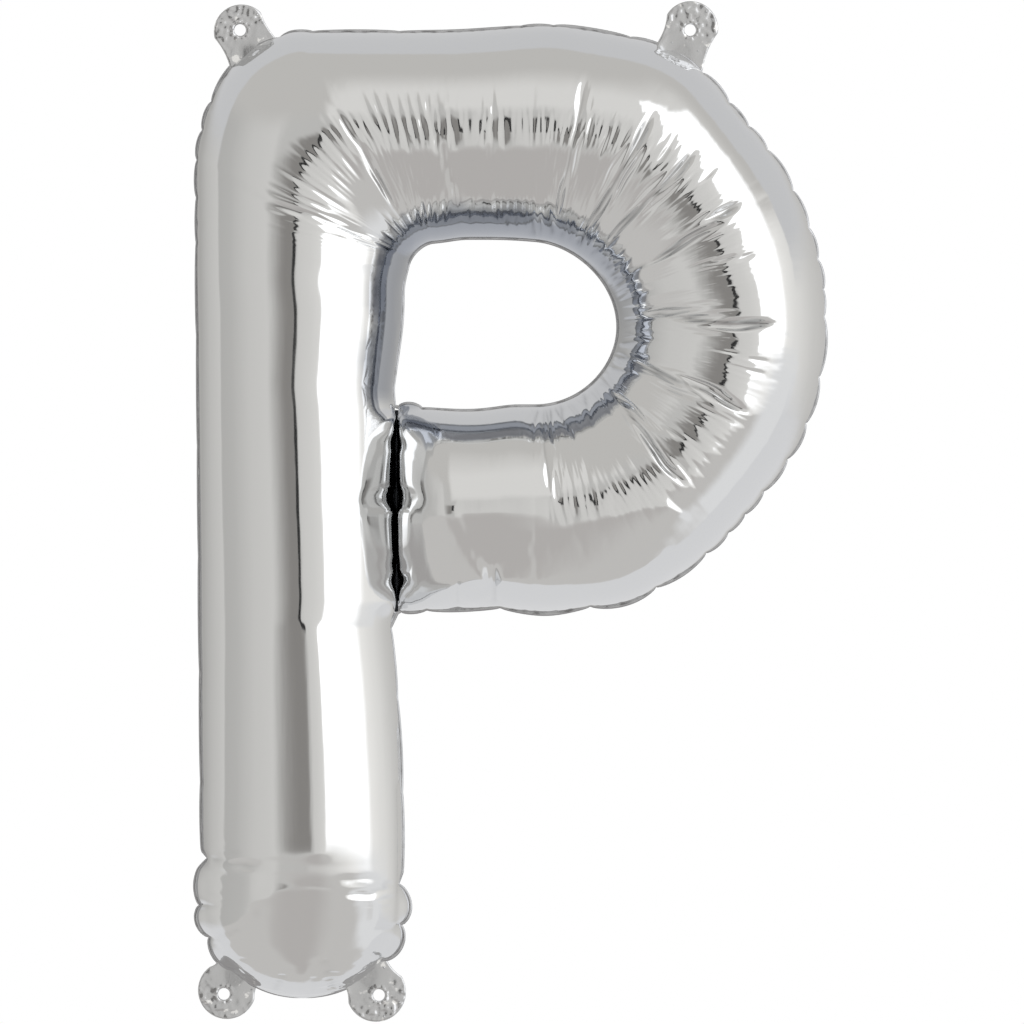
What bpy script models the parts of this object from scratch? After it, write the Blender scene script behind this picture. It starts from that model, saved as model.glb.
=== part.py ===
"""Letter foil balloon with four hanging tabs.

Metres, +Z up. The letter faces -Y and its seam lies in the plane y = 0. The origin is halfway
between the punched holes of the two upper tabs, where the balloon hangs.
"""
import math

import bmesh
import bpy
from mathutils import Vector

MM = 0.001

# Film, seams and gaps
FILM_THICKNESS = 0.6 * MM
SEAM_THICKNESS = 0.8 * MM
CONTACT_GAP = 0.3 * MM
SEAM_OUTSIDE = 2.4 * MM
COUNTER_SEAM_OUTSIDE = 1.2 * MM
SEAM_INSIDE = 1.8 * MM
FOOT_Y = SEAM_THICKNESS / 2 + CONTACT_GAP

# Bowl and the hole it encloses
BOWL_X = 25.2 * MM
BOWL_Z = -105.1 * MM
BOWL_RADIUS = 105.4 * MM
COUNTER_RADIUS = 29.5 * MM
COUNTER_CORNER = 10.0 * MM
COUNTER_LEFT_TOP_X = -22.4 * MM
COUNTER_LEFT_BOTTOM_X = -25.4 * MM

# Stem
STEM_LEFT_TOP_X = -97.6 * MM
STEM_LEFT_BOTTOM_X = -95.2 * MM
STEM_RIGHT_TOP_X = -25.9 * MM
STEM_RIGHT_BOTTOM_X = -22.0 * MM
STEM_END_TOP_Z = -315.0 * MM
STEM_END_DROP = 33.5 * MM
STEM_END_TAPER = 58.0 * MM

# Upper left corner
CORNER_ALONG_TOP = 34.0 * MM
CORNER_ALONG_SIDE = 46.0 * MM
CORNER_SHARPNESS = 0.86

# Seam that joins the lower arm to the stem
WELD_X = -24.6 * MM
WELD_HALF_WIDTH = 2.0 * MM
WELD_FILM_SPACE = 1.0 * MM
ARM_END_LENGTH = 24.0 * MM

# Inflated depth of each side of the tube
STEM_DEPTH = 36.0 * MM
BOWL_DEPTH = 37.5 * MM

# Pleats pressed into the bowl, each as its angle at the outer seam and at the hole
PLEAT_DEPTH = 2.4 * MM
BOWL_PLEATS = (
    (78, 78), (60, 60), (46, 48), (30.5, 26.5), (17, 18.5), (-1, 4.5), (-12, -10.5),
    (-24.5, -22), (-36, -33), (-47.5, -43), (-64, -61), (-79, -82),
)
BOWL_PLEAT_HALF_ANGLE = 2.2

# Pleats of the upper left corner, each as its share of the way round on both edges
CORNER_PLEATS = ((0.25, 0.25), (0.65, 0.65))
CORNER_PLEAT_HALF_SHARE = 0.02

# Full lobes that stand out between the puckers of the stem's lower end: place, then the height of
# the lobe that starts there, in mm
LEFT_EARS = (((-84.5, -339.0), 2.0), ((-92.5, -326.5), 2.4), ((-95.6, -315.0), 2.0), ((-94.8, -300.0), 0.0))
RIGHT_EARS = (((-29.0, -335.5), 3.0), ((-22.6, -322.0), 3.2), ((-23.0, -306.0), 0.0))
LOBE_ROUNDNESS = 0.7

# Puckers that notch the seam's outer edge: angles on the bowl, places in mm elsewhere
NOTCH_DEPTH = 1.4 * MM
NOTCH_SHOULDER = 0.35
BOWL_NOTCHES = (
    71, 53, 48.4, 42.5, 36.6, 27, 19.1, 12.3, 6.7, 1, -5, -11.1, -20.7, -28.6, -36.7, -42.5, -47.3,
    -53.6, -65.4, -79.2,
)
OTHER_NOTCHES = (
    (-84.5, -339.0), (-92.5, -326.5), (-95.6, -315.0), (-94.8, -299.0), (-97.5, -76.0), (-97.0, -60.0),
    (-96.0, -47.0), (-94.5, -36.0), (-91.5, -25.5), (-55.0, 0.0), (-24.0, 0.0), (20.0, 0.0), (36.0, 0.0),
    (13.0, -210.0), (-14.0, -210.0), (-22.0, -306.0), (-22.6, -322.0),
)

# Hanging tabs: centre of the round head, head radius, hole centre
TAB_HOLE_RADIUS = 2.1 * MM
TAB_THICKNESS = 0.8 * MM
TABS = {
    "tab_top_left": ((-80.5, -0.7), 9.9, (-81.0, 0.0), ((-84.2, -15.2), (-66.6, -4.4))),
    "tab_top_right": ((81.2, 0.5), 9.9, (81.0, 0.0), ((69.4, -4.2), (85.6, -14.2))),
    "tab_bottom_left": ((-85.7, -345.6), 10.4, (-86.8, -347.0), ((-75.2, -344.8), (-89.6, -336.0))),
    "tab_bottom_right": ((-32.0, -346.3), 10.7, (-31.0, -347.4), ((-27.8, -335.4), (-43.0, -344.6))),
}

# Valve patch on the back of the stem
VALVE_Z = -268.0 * MM
VALVE_RADIUS = 8.5 * MM
VALVE_HOLE_RADIUS = 2.0 * MM
VALVE_THICKNESS = 0.5 * MM

# Fineness of the surfaces
ACROSS_STEPS = 10
SEAM_STEP = 3.2 * MM
COUNTER_SEAM_STEP = 3.6 * MM
BOWL_ARC_STEPS = 72

# Stations along the tube: how many, or how far apart as a share of the run's length
STEM_END_STATIONS = 12
EAR_STATIONS = 4
EAR_STATION_STEP = 0.018
STEM_STATIONS = 20
CORNER_STATION_STEP = 0.07
BAR_STATIONS = 4
BOWL_STATION_STEP = 0.035
ARM_STATIONS = 12


def clear_scene():
    for item in list(bpy.data.objects):
        bpy.data.objects.remove(item, do_unlink=True)


def make_material(name, colour, roughness, metallic):
    material = bpy.data.materials.new(name)
    material.use_nodes = True
    shader = material.node_tree.nodes["Principled BSDF"]
    shader.inputs["Base Color"].default_value = (*colour, 1.0)
    shader.inputs["Roughness"].default_value = roughness
    shader.inputs["Metallic"].default_value = metallic
    return material


def line(start, end, steps):
    start, end = Vector(start), Vector(end)
    return [start.lerp(end, i / steps) for i in range(steps + 1)]


def arc(centre, radius_x, radius_z, start, end, steps):
    angles = [math.radians(start + (end - start) * i / steps) for i in range(steps + 1)]
    return [Vector((centre[0] + radius_x * math.cos(a), centre[1] + radius_z * math.sin(a))) for a in angles]


def bend(start, control, end, steps):
    start, control, end = Vector(start), Vector(control), Vector(end)
    points = []
    for i in range(steps + 1):
        t = i / steps
        points.append(start * (1 - t) ** 2 + control * 2 * t * (1 - t) + end * t * t)
    return points


def join(*runs):
    points = []
    for run in runs:
        for point in run:
            if not points or (point - points[-1]).length > 0.01 * MM:
                points.append(point)
    return points


def points_at(points, shares):
    """Points at rising shares of a polyline's length."""
    lengths = [0.0]
    for a, b in zip(points, points[1:]):
        lengths.append(lengths[-1] + (b - a).length)
    result = []
    k = 0
    for share in shares:
        target = lengths[-1] * share
        while k < len(points) - 2 and lengths[k + 1] < target:
            k += 1
        part = (target - lengths[k]) / (lengths[k + 1] - lengths[k])
        result.append(points[k].lerp(points[k + 1], min(max(part, 0.0), 1.0)))
    return result


def resample(points, count):
    """Evenly spaced points along a polyline."""
    return points_at(points, [i / count for i in range(count + 1)])


def push_sideways(points, distances, closed):
    """A line with each point moved sideways, to the left of its direction for a positive distance."""
    last = len(points) - 1
    result = []
    for i, (point, distance) in enumerate(zip(points, distances)):
        before = points[i - 1] if closed or i > 0 else point
        after = points[(i + 1) % len(points)] if closed or i < last else point
        along = (after - before).normalized()
        result.append(point + Vector((-along.y, along.x)) * distance)
    return result


def offset_loop(points, distance):
    """A closed loop moved sideways by one distance all round."""
    return push_sideways(points, [distance] * len(points), True)


def nearest(points, place):
    """Index of the point that lies nearest to a place given in mm."""
    place = Vector(place) * MM
    return min(range(len(points)), key=lambda i: (points[i] - place).length)


def lobe_heights(points, lobes):
    """How far each point stands out in a chain of lobes, nothing elsewhere."""
    heights = [0.0] * len(points)
    for (start, height), (end, _) in zip(lobes, lobes[1:]):
        first, last = sorted((nearest(points, start), nearest(points, end)))
        for i in range(first, last + 1):
            share = (i - first) / max(last - first, 1)
            heights[i] = height * MM * math.sin(math.pi * share) ** LOBE_ROUNDNESS
    return heights


# Lines that the film's edges follow, each as (x, z)
TOP_Z = BOWL_Z + BOWL_RADIUS - SEAM_OUTSIDE
ARM_BOTTOM_Z = BOWL_Z - BOWL_RADIUS + SEAM_OUTSIDE
COUNTER_TOP_Z = BOWL_Z + COUNTER_RADIUS + COUNTER_SEAM_OUTSIDE
COUNTER_BOTTOM_Z = BOWL_Z - COUNTER_RADIUS - COUNTER_SEAM_OUTSIDE
FILM_BOWL_RADIUS = BOWL_RADIUS - SEAM_OUTSIDE
FILM_COUNTER_RADIUS = COUNTER_RADIUS + COUNTER_SEAM_OUTSIDE
LEFT_TOP_X = STEM_LEFT_TOP_X + SEAM_OUTSIDE
LEFT_BOTTOM_X = STEM_LEFT_BOTTOM_X + SEAM_OUTSIDE
RIGHT_TOP_X = STEM_RIGHT_TOP_X - SEAM_OUTSIDE
RIGHT_BOTTOM_X = STEM_RIGHT_BOTTOM_X - SEAM_OUTSIDE
STEM_END_X = (LEFT_BOTTOM_X + RIGHT_BOTTOM_X) / 2
STEM_END_HALF_WIDTH = (RIGHT_BOTTOM_X - LEFT_BOTTOM_X) / 2
STEM_END_Z = STEM_END_TOP_Z - STEM_END_DROP + SEAM_OUTSIDE
STEM_SIDE_WELD_X = WELD_X - WELD_FILM_SPACE
ARM_END_X = WELD_X + WELD_FILM_SPACE
FAN_X = COUNTER_LEFT_TOP_X - COUNTER_SEAM_OUTSIDE + COUNTER_CORNER
FAN_Z = COUNTER_TOP_Z - COUNTER_CORNER


def stem_end_half(side):
    """Half of the rounded lower end, from its tip up to the stem's side."""
    drop = STEM_END_TOP_Z - STEM_END_Z
    last = 180 if side < 0 else 360
    return arc((STEM_END_X, STEM_END_TOP_Z), STEM_END_HALF_WIDTH, drop, 270, last, 16)


def stem_left_side():
    return line((LEFT_BOTTOM_X, STEM_END_TOP_Z), (LEFT_TOP_X, FAN_Z), 20)


def stem_right_free_side():
    return line((RIGHT_BOTTOM_X, STEM_END_TOP_Z), (RIGHT_TOP_X, ARM_BOTTOM_Z - 6 * MM), 10)


def stem_right_side():
    weld_low = (STEM_SIDE_WELD_X, ARM_BOTTOM_Z + 4 * MM)
    weld_high = (STEM_SIDE_WELD_X, COUNTER_BOTTOM_Z - 2 * MM)
    counter_low = (COUNTER_LEFT_BOTTOM_X - COUNTER_SEAM_OUTSIDE, COUNTER_BOTTOM_Z + 8 * MM)
    counter_high = (COUNTER_LEFT_TOP_X - COUNTER_SEAM_OUTSIDE, FAN_Z)
    return join(stem_right_free_side(), line(weld_low, weld_high, 8), line(counter_low, counter_high, 8))


def corner_outside():
    top_start = (LEFT_TOP_X + CORNER_ALONG_TOP, TOP_Z)
    side_end = (LEFT_TOP_X, TOP_Z - CORNER_ALONG_SIDE)
    reach_x = CORNER_ALONG_TOP * CORNER_SHARPNESS
    reach_z = CORNER_ALONG_SIDE * CORNER_SHARPNESS
    control = (top_start[0] - reach_x, side_end[1] + reach_z)
    return join(
        line((LEFT_TOP_X, FAN_Z), side_end, 4),
        bend(side_end, control, top_start, 12),
        line(top_start, (FAN_X, TOP_Z), 6),
    )


def corner_inside():
    return arc((FAN_X, FAN_Z), COUNTER_CORNER, COUNTER_CORNER, 180, 90, 12)


def even_stops(count):
    """Station places of a run without pleats: share outside, share inside, how far it is pressed in."""
    return [(i / count, i / count, 0.0) for i in range(count + 1)]


def stem_stops():
    """Station places up the stem, close together beside the ears at its lower end."""
    low = [EAR_STATION_STEP * i for i in range(EAR_STATIONS + 1)]
    rest = [low[-1] + (1 - low[-1]) * i / STEM_STATIONS for i in range(1, STEM_STATIONS + 1)]
    return [(share, share, 0.0) for share in low + rest]


def pleated_stops(pleats, half_width, spacing):
    """Station places of a run with three close together at each pleat, the middle one pressed in."""
    ends = [(0.0, 0.0, 0.0)]
    for outside, inside in pleats:
        ends.append((outside - half_width, inside - half_width, 0.0))
        ends.append((outside, inside, 1.0))
        ends.append((outside + half_width, inside + half_width, 0.0))
    ends.append((1.0, 1.0, 0.0))
    stops = [ends[0]]
    for start, end in zip(ends, ends[1:]):
        steps = max(1, round((end[0] - start[0]) / spacing))
        for i in range(1, steps + 1):
            stops.append(tuple(a + (b - a) * i / steps for a, b in zip(start, end)))
    return stops


def corner_stops():
    return pleated_stops(CORNER_PLEATS, CORNER_PLEAT_HALF_SHARE, CORNER_STATION_STEP)


def bowl_stops():
    """Station places round the bowl, whose half circle runs from 90 degrees down to -90."""
    pleats = [((90 - outside) / 180, (90 - inside) / 180) for outside, inside in BOWL_PLEATS]
    return pleated_stops(pleats, BOWL_PLEAT_HALF_ANGLE / 180, BOWL_STATION_STEP)


def tube_stations():
    """Film edge points on both sides along the tube, and how far each station is pressed in.

    They run from the stem's lower end to the arm's end.
    """
    centre = (BOWL_X, BOWL_Z)
    bar_outside = line((FAN_X, TOP_Z), (BOWL_X, TOP_Z), 4)
    bar_inside = line((FAN_X, COUNTER_TOP_Z), (BOWL_X, COUNTER_TOP_Z), 4)
    bowl_outside = arc(centre, FILM_BOWL_RADIUS, FILM_BOWL_RADIUS, 90, -90, BOWL_ARC_STEPS)
    bowl_inside = arc(centre, FILM_COUNTER_RADIUS, FILM_COUNTER_RADIUS, 90, -90, BOWL_ARC_STEPS)
    runs = [
        (stem_end_half(-1), stem_end_half(1), even_stops(STEM_END_STATIONS)),
        (stem_left_side(), stem_right_side(), stem_stops()),
        (corner_outside(), corner_inside(), corner_stops()),
        (bar_outside, bar_inside, even_stops(BAR_STATIONS)),
        (bowl_outside, bowl_inside, bowl_stops()),
    ]
    outer, inner, pressed = [], [], []
    for outside, inside, stops in runs:
        skip = 1 if outer else 0
        outer += points_at(outside, [stop[0] for stop in stops])[skip:]
        inner += points_at(inside, [stop[1] for stop in stops])[skip:]
        pressed += [stop[2] for stop in stops][skip:]
    arm_length = BOWL_X - ARM_END_X
    for i in range(1, ARM_STATIONS + 1):
        share = math.sin(math.radians(90 * i / ARM_STATIONS))
        x = BOWL_X - arm_length * share
        outer.append(Vector((x, ARM_BOTTOM_Z)))
        inner.append(Vector((x, COUNTER_BOTTOM_Z)))
        pressed.append(0.0)
    outer = push_sideways(outer, lobe_heights(outer, LEFT_EARS), False)
    inner = push_sideways(inner, [-height for height in lobe_heights(inner, RIGHT_EARS)], False)
    return list(zip(outer, inner, pressed))


def rounded_rise(share):
    """Quarter circle from 0 at share 0 to 1 at share 1 and beyond."""
    return math.sqrt(1 - (1 - min(max(share, 0.0), 1.0)) ** 2)


def tube_depth(outside, inside):
    """Depth of the inflated tube at a station, closing at the stem's end and at the weld."""
    middle = (outside + inside) / 2
    if middle.x < STEM_SIDE_WELD_X and middle.y < FAN_Z:
        return STEM_DEPTH * rounded_rise((middle.y - STEM_END_Z) / STEM_END_TAPER)
    depth = BOWL_DEPTH
    if middle.y < COUNTER_BOTTOM_Z and middle.x < BOWL_X:
        depth *= rounded_rise((middle.x - ARM_END_X) / ARM_END_LENGTH)
    return depth


def film_surface(facing):
    """Open half tube on one side of the seam plane: -1 faces the viewer, 1 is the back."""
    mesh = bpy.data.meshes.new("film")
    shape = bmesh.new()
    rows = []
    for outside, inside, pressed in tube_stations():
        middle = (outside + inside) / 2
        reach = (outside - inside) / 2
        depth = tube_depth(outside, inside)
        row = []
        for j in range(ACROSS_STEPS + 1):
            angle = math.pi * j / ACROSS_STEPS
            fullness = 1 - pressed * math.sin(angle) * PLEAT_DEPTH / BOWL_DEPTH
            point = middle + reach * math.cos(angle) * fullness
            y = facing * (FOOT_Y + depth * math.sin(angle) * fullness)
            row.append(shape.verts.new((point.x, y, point.y)))
        rows.append(row)
    for lower, upper in zip(rows, rows[1:]):
        for j in range(ACROSS_STEPS):
            corners = (lower[j], lower[j + 1], upper[j + 1], upper[j])
            shape.faces.new(corners if facing < 0 else corners[::-1])
    bmesh.ops.remove_doubles(shape, verts=shape.verts, dist=0.01 * MM)
    shape.to_mesh(mesh)
    shape.free()
    return mesh


def add_part(name, mesh, collection, material):
    part = bpy.data.objects.new(name, mesh)
    collection.objects.link(part)
    mesh.materials.append(material)
    return part


def add_solidify(part, thickness, offset):
    wall = part.modifiers.new("wall", "SOLIDIFY")
    wall.thickness = thickness
    wall.offset = offset
    wall.use_rim = True
    return wall


def add_film(name, facing, collection, material):
    part = add_part(name, film_surface(facing), collection, material)
    part.data.shade_smooth()
    add_solidify(part, FILM_THICKNESS, 1.0)
    return part


def band_mesh(left_points, right_points, closed):
    """Flat band in the seam plane between two lines."""
    mesh = bpy.data.meshes.new("band")
    shape = bmesh.new()
    left = [shape.verts.new((p.x, 0.0, p.y)) for p in left_points]
    right = [shape.verts.new((p.x, 0.0, p.y)) for p in right_points]
    count = len(left)
    for i in range(count if closed else count - 1):
        k = (i + 1) % count
        shape.faces.new((left[i], left[k], right[k], right[i]))
    shape.to_mesh(mesh)
    shape.free()
    return mesh


def outer_loop():
    """Film edge line all the way round, clockwise seen from the front."""
    inner_corner = (RIGHT_TOP_X, ARM_BOTTOM_Z)
    path = join(
        stem_end_half(-1),
        stem_left_side(),
        corner_outside(),
        line((FAN_X, TOP_Z), (BOWL_X, TOP_Z), 6),
        arc((BOWL_X, BOWL_Z), FILM_BOWL_RADIUS, FILM_BOWL_RADIUS, 90, -90, 60),
        line((BOWL_X, ARM_BOTTOM_Z), (inner_corner[0] + 5 * MM, ARM_BOTTOM_Z), 6),
        bend((inner_corner[0] + 5 * MM, ARM_BOTTOM_Z), inner_corner, (inner_corner[0], ARM_BOTTOM_Z - 5 * MM), 5),
        stem_right_free_side()[::-1],
        stem_end_half(1)[::-1],
    )
    length = sum((b - a).length for a, b in zip(path, path[1:]))
    loop = resample(path, round(length / SEAM_STEP))[:-1]
    left, right = lobe_heights(loop, LEFT_EARS), lobe_heights(loop, RIGHT_EARS)
    return push_sideways(loop, [a + b for a, b in zip(left, right)], True)


def seam_widths(loop):
    """How far the seam's edge stands outside its line at each point, less at the puckers."""
    widths = [SEAM_OUTSIDE] * len(loop)
    turns = [math.radians(angle) for angle in BOWL_NOTCHES]
    centre = Vector((BOWL_X, BOWL_Z)) / MM
    places = [centre + Vector((math.cos(turn), math.sin(turn))) * BOWL_RADIUS / MM for turn in turns]
    for place in places + list(OTHER_NOTCHES):
        i = nearest(loop, place)
        widths[i] = SEAM_OUTSIDE - NOTCH_DEPTH
        for k in (i - 1, (i + 1) % len(loop)):
            widths[k] = min(widths[k], SEAM_OUTSIDE - NOTCH_DEPTH * NOTCH_SHOULDER)
    return widths


def counter_loop():
    """Film edge line round the enclosed hole, clockwise seen from the front."""
    low = (COUNTER_LEFT_BOTTOM_X - COUNTER_SEAM_OUTSIDE, COUNTER_BOTTOM_Z)
    path = join(
        line((low[0], low[1] + 4 * MM), (COUNTER_LEFT_TOP_X - COUNTER_SEAM_OUTSIDE, FAN_Z), 8),
        corner_inside(),
        line((FAN_X, COUNTER_TOP_Z), (BOWL_X, COUNTER_TOP_Z), 4),
        arc((BOWL_X, BOWL_Z), FILM_COUNTER_RADIUS, FILM_COUNTER_RADIUS, 90, -90, 40),
        line((BOWL_X, COUNTER_BOTTOM_Z), (low[0] + 4 * MM, low[1]), 5),
        bend((low[0] + 4 * MM, low[1]), low, (low[0], low[1] + 4 * MM), 5),
    )
    length = sum((b - a).length for a, b in zip(path, path[1:]))
    return resample(path, round(length / COUNTER_SEAM_STEP))[:-1]


def add_seams(collection, material):
    outer = outer_loop()
    edge = push_sideways(outer, seam_widths(outer), True)
    mesh = band_mesh(edge, offset_loop(outer, -SEAM_INSIDE), True)
    add_solidify(add_part("outer_seam", mesh, collection, material), SEAM_THICKNESS, 0.0)

    counter = counter_loop()
    mesh = band_mesh(offset_loop(counter, SEAM_INSIDE), offset_loop(counter, -COUNTER_SEAM_OUTSIDE), True)
    add_solidify(add_part("counter_seam", mesh, collection, material), SEAM_THICKNESS, 0.0)

    top = COUNTER_BOTTOM_Z - SEAM_INSIDE - CONTACT_GAP
    bottom = ARM_BOTTOM_Z + SEAM_INSIDE + CONTACT_GAP
    left = line((WELD_X - WELD_HALF_WIDTH, bottom), (WELD_X - WELD_HALF_WIDTH, top), 6)
    right = line((WELD_X + WELD_HALF_WIDTH, bottom), (WELD_X + WELD_HALF_WIDTH, top), 6)
    add_solidify(add_part("arm_weld", band_mesh(left, right, False), collection, material), SEAM_THICKNESS, 0.0)


def seam_edge_between(start, end):
    """Points just outside the outer seam from start to end, the short way, clockwise."""
    edge = offset_loop(outer_loop(), SEAM_OUTSIDE + CONTACT_GAP)
    first = min(range(len(edge)), key=lambda i: (edge[i] - start).length)
    last = min(range(len(edge)), key=lambda i: (edge[i] - end).length)
    if last < first:
        last += len(edge)
    return [edge[i % len(edge)] for i in range(first, last + 1)]


def tab_outline(head, radius, base_start, base_end):
    """Round head with necked sides that widen onto the seam."""
    base = seam_edge_between(base_start, base_end)
    middle = (base[0] + base[-1]) / 2
    away = (head - middle).normalized()
    facing = math.atan2(away.y, away.x)
    sweep = math.radians(118)
    round_part = [
        head + Vector((math.cos(facing + sweep * k), math.sin(facing + sweep * k))) * radius
        for k in [1 - i / 12 for i in range(25)]
    ]
    if (round_part[0] - base[-1]).length > (round_part[-1] - base[-1]).length:
        round_part.reverse()
    neck_in = (base[-1] + round_part[0]) / 2
    neck_in = neck_in.lerp(head, 0.12)
    neck_out = (base[0] + round_part[-1]) / 2
    neck_out = neck_out.lerp(head, 0.12)
    return base + [neck_in] + round_part + [neck_out]


def add_tab(name, collection, material):
    head, radius, hole, ends = TABS[name]
    head = Vector(head) * MM
    outline = tab_outline(head, radius * MM, Vector(ends[0]) * MM, Vector(ends[1]) * MM)
    hole = Vector(hole) * MM
    ring = arc(hole, TAB_HOLE_RADIUS, TAB_HOLE_RADIUS, 0, 360, 20)[:-1]
    data = bpy.data.curves.new(name, "CURVE")
    data.dimensions = "2D"
    data.fill_mode = "BOTH"
    data.extrude = TAB_THICKNESS / 2
    for points in (outline, ring):
        spline = data.splines.new("POLY")
        spline.points.add(len(points) - 1)
        for place, point in zip(spline.points, points):
            place.co = (point.x, point.y, 0.0, 1.0)
        spline.use_cyclic_u = True
    part = bpy.data.objects.new(name, data)
    part.rotation_euler = (math.radians(90), 0.0, 0.0)
    collection.objects.link(part)
    data.materials.append(material)
    return part


def add_valve(collection, material):
    """Round film patch over the filling hole, lying on the back of the stem."""
    centre_x = (LEFT_BOTTOM_X + RIGHT_BOTTOM_X) / 2
    half_width = (RIGHT_BOTTOM_X - LEFT_BOTTOM_X) / 2
    stand_off = FILM_THICKNESS + CONTACT_GAP
    mesh = bpy.data.meshes.new("valve")
    shape = bmesh.new()
    rings = []
    for radius in (VALVE_HOLE_RADIUS, (VALVE_HOLE_RADIUS + VALVE_RADIUS) / 2, VALVE_RADIUS):
        ring = []
        for i in range(24):
            angle = math.tau * i / 24
            x = radius * math.cos(angle)
            y = FOOT_Y + STEM_DEPTH * math.sqrt(1 - (x / half_width) ** 2) + stand_off
            ring.append(shape.verts.new((centre_x + x, y, VALVE_Z + radius * math.sin(angle))))
        rings.append(ring)
    for inner, outer in zip(rings, rings[1:]):
        for i in range(24):
            k = (i + 1) % 24
            shape.faces.new((inner[i], inner[k], outer[k], outer[i]))
    shape.to_mesh(mesh)
    shape.free()
    part = add_part("fill_valve", mesh, collection, material)
    add_solidify(part, VALVE_THICKNESS, 1.0)
    return part


def build_balloon():
    clear_scene()
    collection = bpy.data.collections.new("letter_foil_balloon")
    bpy.context.scene.collection.children.link(collection)
    add_film("front_film", -1, collection, make_material("front foil", (0.74, 0.74, 0.73), 0.12, 1.0))
    add_film("back_film", 1, collection, make_material("back foil", (0.72, 0.72, 0.71), 0.14, 1.0))
    add_seams(collection, make_material("welded seam", (0.62, 0.62, 0.63), 0.2, 1.0))
    tab_material = make_material("tab film", (0.42, 0.42, 0.42), 0.25, 0.6)
    for name in TABS:
        add_tab(name, collection, tab_material)
    add_valve(collection, make_material("valve film", (0.55, 0.56, 0.57), 0.3, 0.3))


build_balloon()
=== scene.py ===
import math

import bmesh
import bpy
import numpy as np
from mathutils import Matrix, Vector, noise
from mathutils.bvhtree import BVHTree


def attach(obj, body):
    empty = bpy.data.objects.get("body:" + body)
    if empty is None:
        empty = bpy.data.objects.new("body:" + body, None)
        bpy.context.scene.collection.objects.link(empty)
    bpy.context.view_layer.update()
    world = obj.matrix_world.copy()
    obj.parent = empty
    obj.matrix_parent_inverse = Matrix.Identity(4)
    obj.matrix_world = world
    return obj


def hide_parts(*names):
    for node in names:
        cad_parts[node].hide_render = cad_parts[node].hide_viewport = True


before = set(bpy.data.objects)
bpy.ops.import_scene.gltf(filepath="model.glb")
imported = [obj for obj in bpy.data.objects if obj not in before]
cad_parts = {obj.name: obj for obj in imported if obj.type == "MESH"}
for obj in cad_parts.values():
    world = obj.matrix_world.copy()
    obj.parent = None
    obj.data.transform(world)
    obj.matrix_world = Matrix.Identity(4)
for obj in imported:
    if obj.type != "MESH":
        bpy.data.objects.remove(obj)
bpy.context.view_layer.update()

mm = 0.001
print("frame loaded,", len(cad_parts), "nodes")


# small helpers

def hexColour(text):
    values = [int(text[i:i + 2], 16) / 255 for i in (1, 3, 5)]
    linear = [v / 12.92 if v <= 0.04045 else ((v + 0.055) / 1.055) ** 2.4 for v in values]
    return (*linear, 1.0)


def glowColour(text, strength):
    return tuple(part * strength for part in hexColour(text)[:3]) + (1.0,)


def addNode(tree, kind, settings=None, inputs=None, links=None):
    node = tree.nodes.new(kind)
    for name, value in (settings or {}).items():
        setattr(node, name, value)
    for name, value in (inputs or {}).items():
        node.inputs[name].default_value = value
    for name, source in (links or {}).items():
        tree.links.new(source, node.inputs[name])
    return node


def smoothStep(low, high, value):
    share = np.clip((value - low) / (high - low), 0.0, 1.0)
    return share * share * (3 - 2 * share)


def newMaterial(name, metallic, roughness):
    material = bpy.data.materials.new(name)
    material.use_nodes = True
    tree = material.node_tree
    shader = tree.nodes["Principled BSDF"]
    shader.inputs["Metallic"].default_value = metallic
    shader.inputs["Roughness"].default_value = roughness
    place = addNode(tree, "ShaderNodeTexCoord").outputs["Object"]
    return material, tree, shader, place


def newPiece(name, points, faces, edges=()):
    mesh = bpy.data.meshes.new(name)
    mesh.from_pydata([tuple(point) for point in points], edges, faces)
    mesh.shade_smooth()
    piece = bpy.data.objects.new(name, mesh)
    bpy.context.scene.collection.objects.link(piece)
    return piece


def giveNodes(piece, tree, values):
    modifier = piece.modifiers.new(tree.name, "NODES")
    modifier.node_group = tree
    for item in tree.interface.items_tree:
        if item.item_type == "SOCKET" and item.in_out == "INPUT" and item.name in values:
            modifier[item.identifier] = values[item.name]


def toPlainMesh(piece):
    graph = bpy.context.evaluated_depsgraph_get()
    mesh = bpy.data.meshes.new_from_object(piece.evaluated_get(graph), depsgraph=graph)
    mesh.shade_smooth()
    piece.modifiers.clear()
    piece.data = mesh
    shape = bmesh.new()
    shape.from_mesh(mesh)
    bmesh.ops.recalc_face_normals(shape, faces=shape.faces)
    shape.to_mesh(mesh)
    shape.free()


def newTree(name, sockets):
    tree = bpy.data.node_groups.new(name, "GeometryNodeTree")
    tree.interface.new_socket("Geometry", in_out="INPUT", socket_type="NodeSocketGeometry")
    for label, kind, value in sockets:
        socket = tree.interface.new_socket(label, in_out="INPUT", socket_type="NodeSocket" + kind)
        if value is not None:
            socket.default_value = value
    tree.interface.new_socket("Geometry", in_out="OUTPUT", socket_type="NodeSocketGeometry")
    return tree, addNode(tree, "NodeGroupInput").outputs


def finishTree(tree, geometry, material):
    real = addNode(tree, "GeometryNodeRealizeInstances", links={"Geometry": geometry})
    dressed = addNode(tree, "GeometryNodeSetMaterial",
                      links={"Geometry": real.outputs[0], "Material": material})
    addNode(tree, "NodeGroupOutput", links={"Geometry": dressed.outputs[0]})


# studio: a pale floor, the surroundings that the foil mirrors, and the camera; metres

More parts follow.
